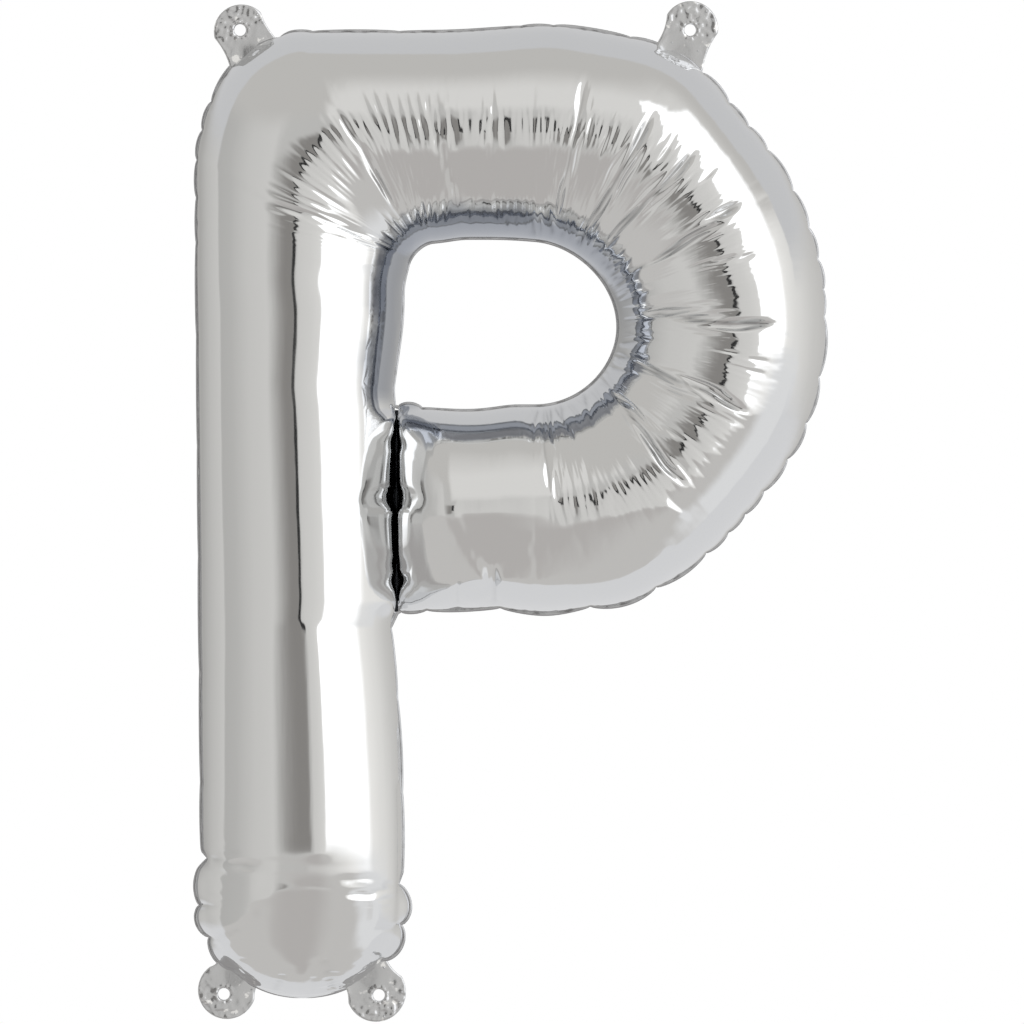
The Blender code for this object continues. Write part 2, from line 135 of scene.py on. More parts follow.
studio = {
    "centre": (0.0169, 0.0, -0.1735),   # middle of the photograph's frame on the seam plane
    "distance": 3.0,
    "frameWidth": 0.36864,              # what the square frame takes in at that distance
    "floorDrop": 0.30,                  # floor under the middle of the frame
    "floorRadius": 1.5,
    "floorFade": (0.98, 0.35),          # shares of that radius where it is gone and where it is whole
    "floorColour": "#f1f1ef",
    "cloudColour": "#ffffff",
    "cloudScale": 3.0,                  # clouds in a metre
}


def buildCamera():
    data = bpy.data.cameras.new("camera")
    data.sensor_width = 36.0
    data.lens = data.sensor_width * studio["distance"] / studio["frameWidth"]
    data.clip_end = 100.0
    camera = bpy.data.objects.new("camera", data)
    bpy.context.scene.collection.objects.link(camera)
    camera.location = Vector(studio["centre"]) + Vector((0.0, -studio["distance"], 0.0))
    camera.rotation_euler = (math.radians(90), 0.0, 0.0)
    bpy.context.scene.camera = camera


def buildFloor():
    rings, turns = 6, 96
    centre = Vector(studio["centre"]) - Vector((0, 0, studio["floorDrop"]))
    points = [centre]
    for ring in range(1, rings + 1):
        for turn in range(turns):
            angle = 2 * math.pi * turn / turns
            reach = studio["floorRadius"] * ring / rings
            points.append(centre + Vector((math.cos(angle), math.sin(angle), 0)) * reach)
    faces = [(0, 1 + turn, 1 + (turn + 1) % turns) for turn in range(turns)]
    for ring in range(rings - 1):
        for turn in range(turns):
            a, b = 1 + ring * turns + turn, 1 + ring * turns + (turn + 1) % turns
            faces.append((a, a + turns, b + turns, b))
    floor = newPiece("floor", points, faces)
    # pale rolled paper: soft, even, with faint cloudiness, and it fades out towards its rim
    material, tree, shader, place = newMaterial("matte studio paper", 0.0, 0.9)
    cloud = addNode(tree, "ShaderNodeTexNoise", None, {"Scale": studio["cloudScale"], "Detail": 2.0},
                    {"Vector": place})
    tone = addNode(tree, "ShaderNodeMix", {"data_type": "RGBA"},
                   {6: hexColour(studio["floorColour"]), 7: hexColour(studio["cloudColour"])},
                   {0: cloud.outputs["Fac"]})
    tree.links.new(tone.outputs[2], shader.inputs["Base Color"])
    offset = addNode(tree, "ShaderNodeVectorMath", {"operation": "DISTANCE"}, {1: centre}, {0: place})
    gone, whole = (studio["floorRadius"] * share for share in studio["floorFade"])
    fade = addNode(tree, "ShaderNodeMapRange", {"interpolation_type": "SMOOTHSTEP"},
                   {"From Min": gone, "From Max": whole}, {"Value": offset.outputs["Value"]})
    tree.links.new(fade.outputs[0], shader.inputs["Alpha"])
    floor.data.materials.append(material)
    floor.visible_glossy = False


# what the foil mirrors level with it, by azimuth in degrees from the viewer's side, positive to the right
wallStops = [
    (-180, 0.43), (-150, 0.45), (-125, 0.60), (-104, 0.68), (-102, 0.52), (-84, 0.55), (-60, 0.66),
    (-37, 0.70), (-30, 0.60), (-3, 0.58), (-1, 0.70), (12, 0.74), (22, 0.80), (72, 1.05), (84, 0.97),
    (97, 0.88), (104, 0.85), (112, 0.80), (131, 0.68), (180, 0.50),
]
# laid over the wall in this order: azimuth and elevation as (starts, full, full, ends), brightness, colour
allRound = (-400, -399, 399, 400)
panels = [
    (allRound, (20, 34, 90, 91), 0.60, "#fffcf7"),                      # ceiling
    ((-14, -4, 60, 100), (17, 28, 42, 74), 0.80, "#fffdf9"),            # its bright part
    ((-36, -13, -8, -3.5), (-15, -9, 9, 16), 0.28, "#fffaf4"),          # dark aisle beside the viewer
    ((-7, -6, -3.4, -2.4), (-4.5, -2.5, 11, 14), 0.03, "#ffffff"),      # camera on its stand
    (allRound, (-91, -90, -20, -15), 0.62, "#fffcf8"),                  # floor
    ((-50, -12, 4, 26), (-91, -80, -24, -15), 0.53, "#fffaf6"),         # floor of the aisle
    ((46, 74, 104, 112), (-60, -42, -14, -2), 0.84, "#ffffff"),         # low soft box
    ((23.5, 26.5, 68, 82), (-16, -3, 44, 49), 1.60, "#ffffff"),         # soft box
]
surroundings = {
    "wallTint": "#fffdf9",
    "backdropTint": "#fdfdfe",      # pale sheet behind the balloon
    "backdropAbove": 0.66,
    "backdropBelow": 0.78,
    "backdropAway": (0.16, 0.22),   # y of the direction where it starts and where it is full
    "backdropSeam": (0.15, 0.35),   # z of the direction, the same, above and below the wall's strip
}


def buildWorld():
    world = bpy.data.worlds.new("studio")
    bpy.context.scene.world = world
    world.use_nodes = True
    tree = world.node_tree
    tree.nodes.clear()
    direction = addNode(tree, "ShaderNodeTexCoord").outputs["Generated"]
    parts = addNode(tree, "ShaderNodeSeparateXYZ", links={"Vector": direction})
    facing = addNode(tree, "ShaderNodeMath", {"operation": "MULTIPLY"}, {1: -1.0}, {0: parts.outputs["Y"]})
    azimuth = addNode(tree, "ShaderNodeMath", {"operation": "ARCTAN2"}, None,
                      {0: parts.outputs["X"], 1: facing.outputs[0]}).outputs[0]
    rise = addNode(tree, "ShaderNodeMath", {"operation": "ARCSINE"}, None, {0: parts.outputs["Z"]}).outputs[0]
    share = addNode(tree, "ShaderNodeMapRange", None, {"From Min": -math.pi, "From Max": math.pi},
                    {"Value": azimuth})
    wall = addNode(tree, "ShaderNodeValToRGB", links={"Fac": share.outputs[0]})
    elements = wall.color_ramp.elements
    elements.remove(elements[1])
    for index, (angle, value) in enumerate(wallStops):
        place = (angle + 180) / 360
        element = elements.new(place) if index else elements[0]
        element.position = place
        element.color = glowColour(surroundings["wallTint"], value)

    # each layer has soft edges: what is measured, where the edge starts and where the layer is full
    layers = []
    for around, upward, value, tint in panels:
        edges = []
        for source, limits in ((azimuth, around), (rise, upward)):
            a, b, c, d = (math.radians(limit) for limit in limits)
            edges += [(source, a, b), (source, d, c)]
        layers.append((edges, value, tint))
    for side, value in ((1, surroundings["backdropAbove"]), (-1, surroundings["backdropBelow"])):
        start, full = (side * height for height in surroundings["backdropSeam"])
        edges = [(parts.outputs["Y"], *surroundings["backdropAway"]), (parts.outputs["Z"], start, full)]
        layers.append((edges, value, surroundings["backdropTint"]))
    result = wall.outputs["Color"]
    for edges, value, tint in layers:
        factor = None
        for source, start, full in edges:
            edge = addNode(tree, "ShaderNodeMapRange", {"interpolation_type": "SMOOTHSTEP"},
                           {"From Min": start, "From Max": full}, {"Value": source}).outputs[0]
            if factor is not None:
                edge = addNode(tree, "ShaderNodeMath", {"operation": "MULTIPLY"}, None,
                               {0: factor, 1: edge}).outputs[0]
            factor = edge
        result = addNode(tree, "ShaderNodeMix", {"data_type": "RGBA"}, {7: glowColour(tint, value)},
                         {0: factor, 6: result}).outputs[2]
    glow = addNode(tree, "ShaderNodeBackground", links={"Color": result})
    white = addNode(tree, "ShaderNodeBackground", None, {"Color": (1, 1, 1, 1)})
    rays = addNode(tree, "ShaderNodeLightPath")
    mix = addNode(tree, "ShaderNodeMixShader", None, None,
                  {0: rays.outputs["Is Camera Ray"], 1: glow.outputs[0], 2: white.outputs[0]})
    addNode(tree, "ShaderNodeOutputWorld", links={"Surface": mix.outputs[0]})


buildCamera()
buildFloor()
buildWorld()
bpy.context.scene.view_settings.view_transform = "Standard"
print("camera, floor and studio made")


# the letter's seam lines, in mm, x to the right and z up

letter = {
    "bowlX": 25.2, "bowlZ": -105.1, "bowlRadius": 104.2, "counterRadius": 30.5,
    "cornerRadius": 10.0, "counterLeftTop": -22.9, "counterLeftBottom": -26.2,
    "leftTop": -96.4, "leftBottom": -94.2,
    "rightTop": -27.2, "rightBottom": -22.8,
    "endTop": -315.0, "endDrop": 32.4, "endTaper": 58.0,
    "cornerAlongTop": 34.0, "cornerAlongSide": 46.0, "cornerSharpness": 0.86,
    "freeBend": (-21.8, -262.0),    # the stem's free right side bends towards this point
    "freeEnd": 6.0,                 # it ends this far under the bowl
    "weldStart": 4.0,               # the weld starts this far above the bowl's bottom
    "weldStop": 1.0,                # it stops this far under the hole
    "sideStart": 7.0,               # the hole's straight side starts this far above its bottom
    "weldX": -24.6, "weldSpace": 0.7, "armEnd": 20.0,
    "stemDepth": 36.0, "stemDepthLow": 32.5, "bowlDepth": 37.5,
    "deepens": (-160, -86),         # heights between which the stem gets as deep as the bowl
    "thins": (-212, -300),          # and between which it gets its low depth
    "thinning": 1.2,
}
holeKinds = ("side", "corner", "bar", "bowl", "arm")    # stretches round the hole
lowKinds = ("end", "free")                              # stretches under the weld


def straight(a, b, steps):
    share = np.linspace(0, 1, steps + 1)[:, None]
    return np.array(a) * (1 - share) + np.array(b) * share


def arcRun(centre, radiusX, radiusZ, start, end, steps):
    angle = np.radians(np.linspace(start, end, steps + 1))
    return np.stack([centre[0] + radiusX * np.cos(angle), centre[1] + radiusZ * np.sin(angle)], 1)


def bendRun(a, control, b, steps):
    t = np.linspace(0, 1, steps + 1)[:, None]
    return np.array(a) * (1 - t) ** 2 + np.array(control) * 2 * t * (1 - t) + np.array(b) * t * t


def joinRuns(*runs):
    points = [runs[0]]
    for run in runs[1:]:
        points.append(run[1:] if np.linalg.norm(run[0] - points[-1][-1]) < 0.01 else run)
    return np.concatenate(points)


def pathLength(points):
    return np.concatenate([[0], np.cumsum(np.linalg.norm(np.diff(points, axis=0), axis=1))])


def pick(points, shares):
    along = pathLength(points)
    return np.stack([np.interp(shares * along[-1], along, points[:, k]) for k in (0, 1)], 1)


def letterRuns():
    # each stretch of the tube: its kind, its outer and its inner seam, and how many cells lie along it
    p = letter
    top = p["bowlZ"] + p["bowlRadius"]
    bottom = p["bowlZ"] - p["bowlRadius"]
    counterTop = p["bowlZ"] + p["counterRadius"]
    counterBottom = p["bowlZ"] - p["counterRadius"]
    fanX = p["counterLeftTop"] + p["cornerRadius"]
    fanZ = counterTop - p["cornerRadius"]
    tipX = (p["leftBottom"] + p["rightBottom"]) / 2
    halfWidth = (p["rightBottom"] - p["leftBottom"]) / 2
    endTop = p["endTop"]
    left = straight((p["leftBottom"], endTop), (p["leftTop"], fanZ), 100)
    freeTop = bottom - p["freeEnd"]
    leftSplit = (freeTop - endTop) / (fanZ - endTop)
    leftCounter = (counterBottom - endTop) / (fanZ - endTop)
    weldSide = p["weldX"] - p["weldSpace"]
    armSide = p["weldX"] + p["weldSpace"]
    stemFree = bendRun((p["rightBottom"], endTop), p["freeBend"], (p["rightTop"], freeTop), 30)
    weldLow, weldHigh = (weldSide, bottom + p["weldStart"]), (weldSide, counterBottom - p["weldStop"])
    counterLow = (p["counterLeftBottom"], counterBottom + p["sideStart"])
    counterHigh = (p["counterLeftTop"], fanZ)
    topStart = (p["leftTop"] + p["cornerAlongTop"], top)
    sideEnd = (p["leftTop"], top - p["cornerAlongSide"])
    control = (topStart[0] - p["cornerAlongTop"] * p["cornerSharpness"],
               sideEnd[1] + p["cornerAlongSide"] * p["cornerSharpness"])
    centre = (p["bowlX"], p["bowlZ"])
    return [
        ("end", arcRun((tipX, endTop), halfWidth, p["endDrop"], 270, 180, 60),
         arcRun((tipX, endTop), halfWidth, p["endDrop"], -90, 0, 60), 46),
        ("free", pick(left, np.linspace(0, leftSplit, 40)), stemFree, 57),
        ("weld", pick(left, np.linspace(leftSplit, leftCounter, 40)),
         joinRuns(straight(stemFree[-1], weldLow, 3), straight(weldLow, weldHigh, 10)), 50),
        ("side", pick(left, np.linspace(leftCounter, 1, 40)),
         joinRuns(straight(weldHigh, counterLow, 3), straight(counterLow, counterHigh, 8)), 38),
        ("corner", joinRuns(straight(left[-1], sideEnd, 4), bendRun(sideEnd, control, topStart, 30),
                            straight(topStart, (fanX, top), 6)),
         arcRun((fanX, fanZ), p["cornerRadius"], p["cornerRadius"], 180, 90, 20), 110),
        ("bar", straight((fanX, top), (p["bowlX"], top), 4),
         straight((fanX, counterTop), (p["bowlX"], counterTop), 4), 46),
        ("bowl", arcRun(centre, p["bowlRadius"], p["bowlRadius"], 90, -90, 120),
         arcRun(centre, p["counterRadius"], p["counterRadius"], 90, -90, 120), 360),
        ("arm", straight((p["bowlX"], bottom), (armSide, bottom), 10),
         straight((p["bowlX"], counterBottom), (armSide, counterBottom), 10), 66),
    ]


# the seams swell out and draw in a little. Each swell gives its angle round the bowl's centre, how far
# outwards it goes in mm and half its width in degrees
bowlSwells = [
    (62, 5, 20),  # full shoulder under the upper right tab
    (85, 2.5, 24),  # top of the bowl
    (-40, -2, 20),  # flatter below the middle
    (-70, 1.5, 14), (-102, -1.5, 16),  # full, then drawn in along the arm
]
holeSwells = [
    (50, -2, 70),  # tighter round the top of the bowl
    (148, -3, 20), (180, -1.5, 34),  # round upper left corner and the straight side
    (-130, 2, 28),  # wide lower left corner
]


def swell(points, swells, share):
    across, up = points[:, 0] - letter["bowlX"], points[:, 1] - letter["bowlZ"]
    angles = np.degrees(np.arctan2(up, across))
    push = np.zeros(len(points))
    for middle, height, halfWidth in swells:
        away = np.abs((angles - middle + 180) % 360 - 180) / halfWidth
        push += height * np.cos(np.clip(away, 0, 1) * math.pi / 2) ** 2
    return points + (push * share / np.hypot(across, up))[:, None] * np.stack([across, up], 1)


def letterStations():
    outer, inner, kinds = plainStations()
    outer = swell(outer, bowlSwells, np.isin(kinds, ("bar", "bowl", "arm")).astype(float))
    isHole = np.isin(kinds, holeKinds)
    along = pathLength(inner[isHole])
    # it starts and ends where the plain seam does, with 8 mm to get there
    share = smoothStep(0, 8, along) * smoothStep(0, 8, along[-1] - along)
    inner[isHole] = swell(inner[isHole], holeSwells, share)
    return outer, inner, kinds


def plainStations():
    outer, inner, kinds = [], [], []
    for kind, outside, inside, count in letterRuns():
        shares = np.linspace(0, 1, count + 1)
        # the arm's cells lie closer together towards the weld, the free stem's towards its end
        if kind == "arm":
            shares = 0.4 * np.sin(shares * math.pi / 2) + 0.6 * shares
        if kind == "free":
            shares = 0.45 * shares + 0.55 * shares ** 2
        skip = 1 if kinds else 0
        outer.append(pick(outside, shares)[skip:])
        inner.append(pick(inside, shares)[skip:])
        kinds += [kind] * (count + 1 - skip)
    return np.concatenate(outer), np.concatenate(inner), np.array(kinds)


# seam puckers: where each one starts (x, z), how far its middle stands out and how far its start does, mm
leftNotches = [
    ((-84.5, -339), 2.4, 0.0), ((-92.5, -326.5), 2.9, -0.5), ((-95.9, -315.4), 2.4, 0.7),
    ((-94.3, -301), 0.0, 0.3), ((-92.7, -297.7), 0.0, -2.3), ((-94.3, -295), 0.4, 0.0),
    ((-94.8, -270), 0.3, 0.0), ((-95, -230), 0.3, 0.0), ((-95.4, -190), 0.2, 0.0), ((-95.8, -150), 0.2, 0.0),
    ((-96, -110), 0.4, -0.1), ((-96.4, -76), 0.5, -0.2), ((-96.4, -60), 0.9, -0.3), ((-95.4, -47), 1.2, -0.5),
    ((-94, -36), 1.2, -0.6), ((-90.5, -25.5), 1.0, -0.5), ((-80, -10), 0.5, -0.3), ((-67, -2.6), 1.0, -1.2),
    ((-55, -1), 0.6, -0.2), ((-24, 0), 0.5, -0.2), ((20, 0), 0.5, -0.2), ((32, 0), 1.0, -0.4),
]
# on the bowl: angle and how far the middle stands out
bowlNotches = [
    (71, 0.8), (64, 0.7), (56.2, 1.5), (48.4, 1.3), (42.5, 1.2), (36.6, 1.6), (27, 1.4), (19.1, 1.3),
    (12.3, 1.3), (6.7, 0.8), (1, 1.6), (-11.1, 1.6), (-20.7, 1.6), (-28.6, 1.6), (-36.7, 1.3), (-42.5, 1.0),
    (-47.3, 1.3), (-53.6, 1.9), (-65.4, 2.2), (-79.2, 2.0),
]
bowlNotchStart = -0.55  # how far its start does, as a share of that: it lies inwards
armNotches = [((13, -208), 1.6, -0.9), ((-14, -208), 1.0, -0.6), ((-23, -208), 0.3, -0.3)]
rightNotches = [
    ((-28.6, -335.5), 3.4, 0.2), ((-22.6, -322), 4.0, -0.2), ((-23.2, -307.6), 0.0, -1.8),
    ((-22.6, -303), 0.4, -0.2), ((-22.8, -275), 0.5, -0.1), ((-24, -240), 0.4, -0.1), ((-27, -215), 0.2, 0.0),
]
# small ear of film in the hole's lower left corner
earNotches = [((-13, -135.6), 0.0, 0.3), ((-15.6, -135.6), 1.6, 0.2)]
seamEndRise = 0.3       # how far a seam's first point stands out, and how far more its first pucker does


def seamPuckers(points, notches):
    along = pathLength(points)
    found = [(int(np.argmin(np.linalg.norm(points - np.array(place), axis=1))), peak, start)
             for place, peak, start in notches]
    found = [(0, seamEndRise, seamEndRise)] + sorted(found) + [(len(points) - 1, 0, 0)]
    rise = np.zeros(len(points))
    for (first, peak, low), (last, _, nextLow) in zip(found, found[1:]):
        if last > first:
            share = (along[first:last + 1] - along[first]) / (along[last] - along[first])
            rise[first:last + 1] = low + (nextLow - low) * share + peak * np.sin(math.pi * share) ** 0.6
    return rise


def sideways(points):
    step = np.gradient(points, axis=0)
    step /= np.linalg.norm(step, axis=1, keepdims=True) + 1e-9
    return np.stack([-step[:, 1], step[:, 0]], 1)


def pointAround(centre, angle, radius):
    turn = math.radians(angle)
    return centre[0] + radius * math.cos(turn), centre[1] + radius * math.sin(turn)


def polarPoint(angle, radius):
    return pointAround((letter["bowlX"], letter["bowlZ"]), angle, radius)


def seamLines(endShare, bowlShare):
    outer, inner, kinds = letterStations()
    notches = leftNotches + armNotches
    for angle, peak in bowlNotches:
        notches.append((polarPoint(angle, letter["bowlRadius"]), peak, bowlNotchStart * peak))
    isLow = np.isin(kinds, lowKinds)
    share = np.where(isLow, endShare, bowlShare)
    outer = outer + sideways(outer) * (seamPuckers(outer, notches) * share)[:, None]
    low = inner[isLow]
    inner[isLow] = low - sideways(low) * (seamPuckers(low, rightNotches) * endShare)[:, None]
    isHole = np.isin(kinds, holeKinds)
    hole = inner[isHole]
    # only the ear counts here, and it fades in over the first 3 mm
    rise = seamPuckers(hole, earNotches) - seamEndRise
    inner[isHole] = hole - sideways(hole) * (rise * smoothStep(0, 3, pathLength(hole)))[:, None]
    return outer, inner, kinds


# creases of the front film. On the bowl: (angle, distance from its centre) from outside in, depth, width
bowlCreases = [
    ([(78, 88.7), (78, 35)], 1.8, 1.4), ([(60, 85), (60, 34)], 2.6, 1.6),
    ([(57.6, 74), (58.6, 44)], 1.0, 1.1),
    ([(46.1, 84.4), (48, 35.7)], 2.6, 1.6), ([(30.3, 86.3), (28, 68.9), (26, 45)], 2.9, 1.6),
    ([(16.7, 82), (18.9, 59)], 1.5, 1.2), ([(-1.1, 87), (-1.1, 66.6), (3.3, 44.3), (4.7, 37.6)], 3.2, 1.7),
    ([(-24.3, 83), (-21.9, 66.5), (-23.8, 52.5), (-21.4, 34.3)], 2.8, 1.6),
    ([(-27.9, 81), (-26.6, 54), (-22.8, 40)], 1.4, 1.2),
    ([(-47.4, 80.2), (-48.2, 69.2), (-44.2, 45.4), (-41, 33.3)], 3.0, 1.6),
    ([(69.9, 80.5), (68.2, 64)], 0.9, 1.1), ([(52.9, 85.6), (51.8, 72.6)], 0.9, 1.1),
    ([(40.2, 84.7), (39.6, 76)], 0.9, 1.1), ([(-10.4, 83), (-9.4, 69)], 1.0, 1.1),
    ([(-13.7, 83), (-13, 72)], 0.9, 1.1),
]
# elsewhere, as x and z
plainCreases = [
    ([(28.3, -133), (28.3, -150), (29.7, -161), (34.8, -170)], 1.8, 1.5),
    ([(10.6, -207), (10.6, -192)], 1.5, 1.3), ([(-2.5, -207), (-2.5, -199)], 0.9, 1.2),
    ([(-46.1, -30.6), (-35.3, -46.4), (-24.8, -65.9)], 2.2, 1.5),
    ([(-73.1, -63), (-52.2, -68.4), (-38.5, -74.5), (-29.5, -79.9)], 2.0, 1.5),
    ([(-78, -60), (-60, -66)], 0.9, 1.1), ([(-12.5, -26), (-1.8, -66.6)], 1.4, 1.2),
    ([(10, -49), (10, -25)], 1.1, 1.2),
    ([(-92.5, -298), (-85.3, -299), (-73.6, -299.5)], 1.8, 1.6), ([(-92, -297), (-82, -295)], 0.8, 1.2),
    ([(-91, -299.5), (-79, -302)], 0.8, 1.2), ([(-95.6, -315.2), (-86, -314.6)], 1.0, 1.4),
    ([(-90, -327), (-79, -322)], 1.1, 1.5), ([(-68.8, -346), (-63.4, -336.6)], 1.5, 1.6),
    ([(-46.8, -346), (-50.4, -332.3)], 1.7, 1.6), ([(-24, -307.5), (-34, -309.5), (-42, -310.5)], 1.5, 1.6),
    ([(-30.6, -305), (-36.7, -304.2), (-44, -306)], 1.0, 1.5), ([(-22, -322), (-33, -323)], 1.1, 1.5),
    ([(-28, -336), (-34, -331)], 1.1, 1.5), ([(-44, -346), (-48.6, -334)], 1.2, 1.3),
    ([(-54.5, -347), (-54.3, -338)], 0.9, 1.2), ([(-84, -339), (-77, -331)], 0.9, 1.3),
    ([(-65, -309), (-54, -306), (-43, -309)], 0.8, 2.0), ([(-57.2, -288), (-57.4, -300)], 0.5, 1.2),
    ([(-44, -303.5), (-37, -307), (-29, -304)], 1.0, 1.4),
]
# pinches across the weld valley, and ridges between flatter facets (negative: they stand out)
broadCreases = [
    ([(-24.2, -168.6), (-17, -168.3), (-11, -168)], 2.4, 1.8), ([(-25, -168.6), (-35, -169.4)], 1.1, 1.8),
    ([(-24.6, -199), (-19, -199)], 1.2, 1.6), ([(-24.6, -149), (-19, -149)], 0.8, 1.4),
    ([(-20, -169), (-11.5, -171), (-2, -181), (10.6, -191.5), (32, -181.8), (72, -165)], -1.4, 7.0),
    ([(-78.6, -12), (-71.3, -29.5), (-62.6, -37.4)], -0.5, 6.0),
    ([(-71.6, -301), (-71.3, -314.6), (-74.7, -319.5), (-84, -327)], -0.5, 6.0),
]
# flatter panels of film between the folds: corners as x and z, extra turn and tip in degrees, flatness
facets = [
    ([(-70, -306), (-46.8, -305.6), (-37.1, -310), (-34.6, -320.4), (-35.3, -331.2), (-50.4, -337),
      (-63, -337), (-73.1, -329.4), (-74.5, -319.7)], (0, 0), 0.25),
    ([(-95.4, -301.7), (-73.1, -300.2), (-71.6, -313.2), (-75.2, -319.7), (-82.8, -325.4),
      (-93.6, -322.2)], (-3, 2), 0.35),
    ([(-34, -310), (-22, -309), (-20.5, -317), (-23, -321.5), (-34, -322)], (4, 0), 0.4),
    ([(-35, -324), (-23, -323), (-22.5, -331), (-33, -337), (-38, -333)], (4, -4), 0.4),
    ([(-69, -212), (-51, -212), (-48.5, -298), (-69.5, -298)], (-4, 0), 0.45),
    ([(-13.3, -148.3), (28.8, -149), (30.2, -161.3), (-9, -165.6)], (0, 0), 0.45),
    ([(-5.2, -168.1), (31.7, -166.3), (63, -170.3), (33.1, -181.1), (10.8, -191.5), (-1.1, -180.7)],
     (0, -3), 0.5),
    ([(-22, -171.4), (-11.5, -171.7), (-2.2, -182.2), (9, -193), (8.3, -200.2), (-15.1, -203.8),
      (-21.2, -200.9)], (-5, 5), 0.5),
    ([(11.5, -193), (33.5, -182.9), (71.6, -168.5), (81, -174.6), (66.6, -194.4), (45.4, -200.9),
      (10.4, -200.2)], (0, 0), 0.5),
]
# how far the fullest line of the tube lies off its middle, mm: outwards on the bowl by angle, or right
crest = {
    "bowl": [(-90, 0), (-72, 0.5), (-60, 3), (-48, 6), (-14, 5.8), (-6, 7.5), (1, 8), (6, 7.5),
             (12, 5.5), (38, 5.5), (60, 2.5), (90, 0)],
    "stemHigh": 1.2, "stemLow": 4.4,
    "stemGrows": (-97, -225),       # heights between which the stem's value grows
    "stemStarts": (-86, -104),      # and where it fades in at the top
    "stemEnds": (-344, -300),       # and at the bottom
}
film = {
    "across": 32,                   # cells from seam to seam on one side
    "pressure": 0.0004,             # push outwards in each step, by the area that it acts on
    "steps": 150,
    "rounds": 2,                    # corrections of the film's lengths in each step
    "damping": 0.96,
    "longestMove": 0.5,             # mm in one step
    "bendAlong": 0.05,              # how strongly the film resists folding, of 1
    "bendAcross": 0.05,
    "spareAll": 0.001,              # film left over along its length, as a share: everywhere
    "spareInner": 0.004,            # on the bowl's inner half
    "spareArm": 0.006,              # on the arm's inner half
    "spareSeam": 0.02,              # beside the outer seam of both
    "spareEnd": 0.01,               # at the stem's end
    "roughness": 0.02,              # mm that each point is shaken by at the start
    "puckerShares": (0.9, 0.6),     # how much of the seams' puckers it follows, at the stem's end and above
    "puckerReach": 6.0,             # how far from its edge a seam's pucker shows in the film
    "facetEdge": 2.5,               # how softly a flat panel begins
    "creaseTaper": (-0.02, 0.16),   # shares of its length over which a crease fades in and out
    "weldGap": 0.3,                 # each side of the weld stays this far from its middle
    "valleyReach": 9.0,             # how far from the weld its valley changes the film
    "seed": 7,
}


def tubeDepths(outer, inner, kinds):
    middle = (outer + inner) / 2
    tip = letter["endTop"] - letter["endDrop"]
    depth = np.full(len(outer), letter["bowlDepth"])
    isStem = np.isin(kinds, ("end", "free", "weld", "side"))
    rise = np.clip((middle[:, 1] - tip) / letter["endTaper"], 0, 1)
    upper = smoothStep(*letter["deepens"], middle[:, 1])
    start, full = letter["thins"]
    lower = np.clip((start - middle[:, 1]) / (start - full), 0, 1) ** letter["thinning"]
    stem = letter["stemDepth"] + upper * (letter["bowlDepth"] - letter["stemDepth"])
    stem = stem + lower * (letter["stemDepthLow"] - letter["stemDepth"])
    depth = np.where(isStem, stem * np.sqrt(1 - (1 - rise) ** 2), depth)
    start = letter["weldX"] + letter["weldSpace"]
    rise = np.clip((middle[:, 0] - start) / letter["armEnd"], 0, 1)
    return np.where(kinds == "arm", letter["bowlDepth"] * np.sqrt(1 - (1 - rise) ** 2), depth)


def shapeFilm():
    outer, inner, kinds = letterStations()
    depth = tubeDepths(outer, inner, kinds)
    half = film["across"]
    angle = math.pi * np.arange(2 * half) / half
    middle, reach = (outer + inner) / 2, (outer - inner) / 2
    grid = np.zeros((len(outer), 2 * half, 3))
    grid[:, :, 0] = middle[:, :1] + reach[:, :1] * np.cos(angle)
    grid[:, :, 2] = middle[:, 1:] + reach[:, 1:] * np.cos(angle)
    grid[:, :, 1] = -depth[:, None] * np.sin(angle)
    # the seams' puckers fade out within a few millimetres of film
    puckered = seamLines(*film["puckerShares"])
    span = np.linalg.norm(outer - inner, axis=1)
    for plain, moved, side in ((outer, puckered[0], 1), (inner, puckered[1], -1)):
        turned = np.mod(angle / math.pi - (side < 0), 2) / 2
        fromSeam = span[:, None] * math.pi * (0.5 - np.abs(turned - 0.5))
        fade = np.exp(-(fromSeam / film["puckerReach"]) ** 2)
        grid[:, :, (0, 2)] += (moved - plain)[:, None] * fade[..., None]
    leanCrest(grid)
    grid[0] = grid[0].mean(0)
    return grid, kinds


def leanCrest(grid):
    across, up = grid[:, :, 0] - letter["bowlX"], grid[:, :, 2] - letter["bowlZ"]
    angles, shifts = zip(*crest["bowl"])
    push = np.interp(np.degrees(np.arctan2(up, across)), angles, shifts, left=0, right=0)
    # the high power keeps it to the fullest part
    push = push * (np.abs(grid[:, :, 1]) / letter["bowlDepth"]) ** 4 / (np.hypot(across, up) + 1e-9)
    z = grid[:, :, 2]
    shift = crest["stemHigh"] + (crest["stemLow"] - crest["stemHigh"]) * smoothStep(*crest["stemGrows"], z)
    shift = shift * smoothStep(*crest["stemStarts"], z) * smoothStep(*crest["stemEnds"], z)
    stem = grid[:, :, 0] < letter["weldX"]
    grid[:, :, 0] += push * across + np.where(stem, shift * np.abs(grid[:, :, 1]) / letter["stemDepth"], 0)
    grid[:, :, 2] += push * up


def facetShare(x, z, corners):
    share = np.ones(x.shape)
    sides = list(zip(corners, corners[1:] + corners[:1]))
    turn = math.copysign(1, sum(a[0] * b[1] - b[0] * a[1] for a, b in sides))
    for a, b in sides:
        inside = turn * ((b[0] - a[0]) * (z - a[1]) - (b[1] - a[1]) * (x - a[0])) / math.dist(a, b)
        share = share * smoothStep(0, film["facetEdge"], inside)
    return share


